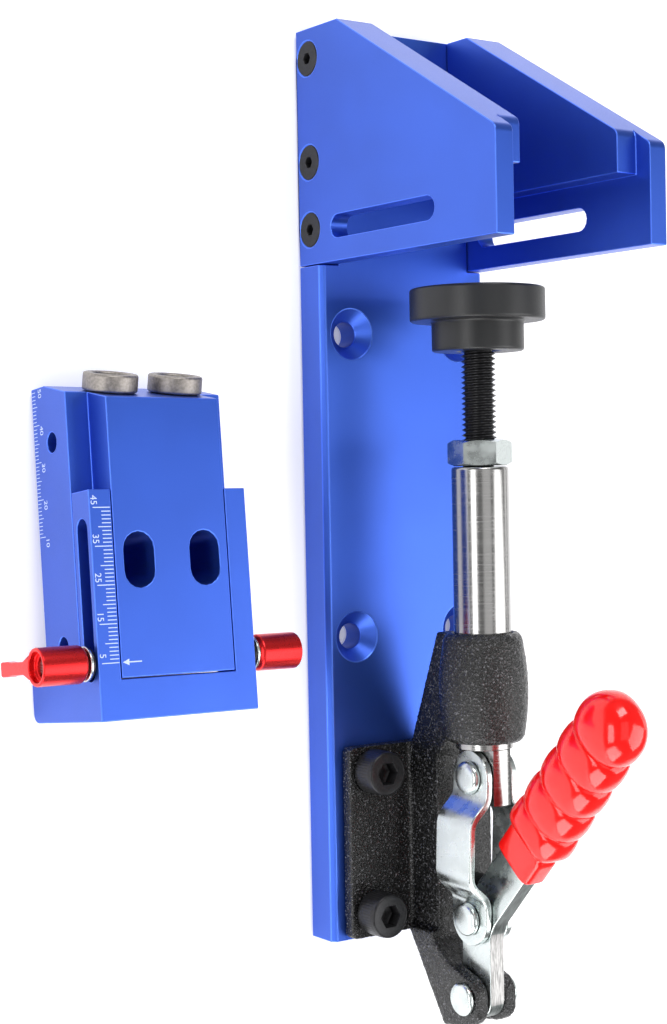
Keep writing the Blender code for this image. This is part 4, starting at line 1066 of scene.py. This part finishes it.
class DRILL_OT_stage(bpy.types.Operator):
    """Floor, studio lights and the camera at the photograph's view"""

    bl_idname = "drill_guide.stage"
    bl_label = "Stage"

    EYE = (-0.3464, 0.0062, 0.4647)
    YAW = math.radians(-35.085)
    PITCH = math.radians(1.424)
    ROLL = math.radians(1.063)
    LENS = 66.51
    # Softboxes face the middle of the object: place, width, height, and power in watts
    TARGET = (-0.02, 0.0, 0.03)
    LAMPS = (
        ("key", (0.50, -0.30, 0.75), 0.8, 0.8, 7.1),
        ("left", (-1.05, -0.1, 0.48), 0.9, 0.36, 4.9),
        ("top", (-0.15, 0.95, 0.75), 0.7, 0.4, 7.2),
        ("overhead", (-0.25, 0.0, 1.0), 0.9, 0.6, 1.2),
        ("foot", (-0.40, -0.90, 0.32), 0.8, 0.55, 7.0),
        ("right", (1.15, 0.15, 0.28), 0.6, 0.25, 0.7),
    )

    def floor(self):
        """Wide plane just under the object."""
        reach = 6.0
        level = CAD_BOX[0][2] - 0.2 * MM
        corners = [(-reach, -reach), (reach, -reach), (reach, reach), (-reach, reach)]
        mesh = bpy.data.meshes.new("floor")
        mesh.from_pydata([(x, y, level) for x, y in corners], [], [(0, 1, 2, 3)])
        mesh.materials.append(finish("studio_paper"))
        new_object("floor", mesh)

    def softbox(self, name, place, width, height, power):
        """Area light that faces the target."""
        data = bpy.data.lights.new(name + "_softbox", "AREA")
        data.shape = "RECTANGLE"
        data.size = width
        data.size_y = height
        data.energy = power
        lamp = new_object(name + "_softbox", data)
        lamp.location = place
        aim = Vector(self.TARGET) - Vector(place)
        lamp.rotation_euler = aim.to_track_quat("-Z", "Y").to_euler()

    def camera(self):
        data = bpy.data.cameras.new("camera")
        data.lens = self.LENS
        data.clip_start = 0.01
        camera = new_object("camera", data)
        turn = Matrix.Rotation(self.YAW, 4, "Y") @ Matrix.Rotation(-self.PITCH, 4, "X")
        turn = turn @ Matrix.Rotation(-self.ROLL, 4, "Z")
        camera.matrix_world = Matrix.Translation(self.EYE) @ turn
        bpy.context.scene.camera = camera

    def execute(self, context):
        self.floor()
        self.camera()
        for lamp in self.LAMPS:
            self.softbox(*lamp)
        world = bpy.data.worlds.new("studio")
        world.use_nodes = True
        sky = world.node_tree.nodes["Background"]
        sky.inputs["Color"].default_value = (1.0, 1.0, 1.0, 1.0)
        sky.inputs["Strength"].default_value = 0.25
        context.scene.world = world
        context.scene.view_settings.view_transform = "Standard"
        return {"FINISHED"}


OPERATORS = (
    DRILL_OT_plates,
    DRILL_OT_casting,
    DRILL_OT_screws,
    DRILL_OT_plunger,
    DRILL_OT_links,
    DRILL_OT_handle,
    DRILL_OT_bushes,
    DRILL_OT_scales,
    DRILL_OT_stage,
)


class DRILL_PT_sidebar(bpy.types.Panel):
    """Lists the pieces, and the sizes and colours of their finish"""

    bl_idname = "DRILL_PT_sidebar"
    bl_label = "Drill Guide"
    bl_space_type = "VIEW_3D"
    bl_region_type = "UI"
    bl_category = "Drill Guide"

    def draw(self, context):
        for operator in OPERATORS:
            self.layout.operator(operator.bl_idname)
        for group in (context.scene.drill_guide_sizes, context.scene.drill_guide_colours):
            for name in group.bl_rna.properties.keys():
                if name not in ("rna_type", "name"):
                    self.layout.prop(group, name)


CLASSES = (DrillGuideSizes, DrillGuideColours, *OPERATORS, DRILL_PT_sidebar)


def register():
    for cls in CLASSES:
        bpy.utils.register_class(cls)
    bpy.types.Scene.drill_guide_sizes = PointerProperty(type=DrillGuideSizes)
    bpy.types.Scene.drill_guide_colours = PointerProperty(type=DrillGuideColours)


def unregister():
    del bpy.types.Scene.drill_guide_colours
    del bpy.types.Scene.drill_guide_sizes
    for cls in reversed(CLASSES):
        bpy.utils.unregister_class(cls)


def main():
    register()
    bpy.ops.drill_guide.plates()
    bpy.ops.drill_guide.casting()
    bpy.ops.drill_guide.screws()
    bpy.ops.drill_guide.plunger()
    bpy.ops.drill_guide.links()
    bpy.ops.drill_guide.handle()
    bpy.ops.drill_guide.bushes()
    bpy.ops.drill_guide.scales()
    bpy.ops.drill_guide.stage()


if __name__ == "__main__":
    main()
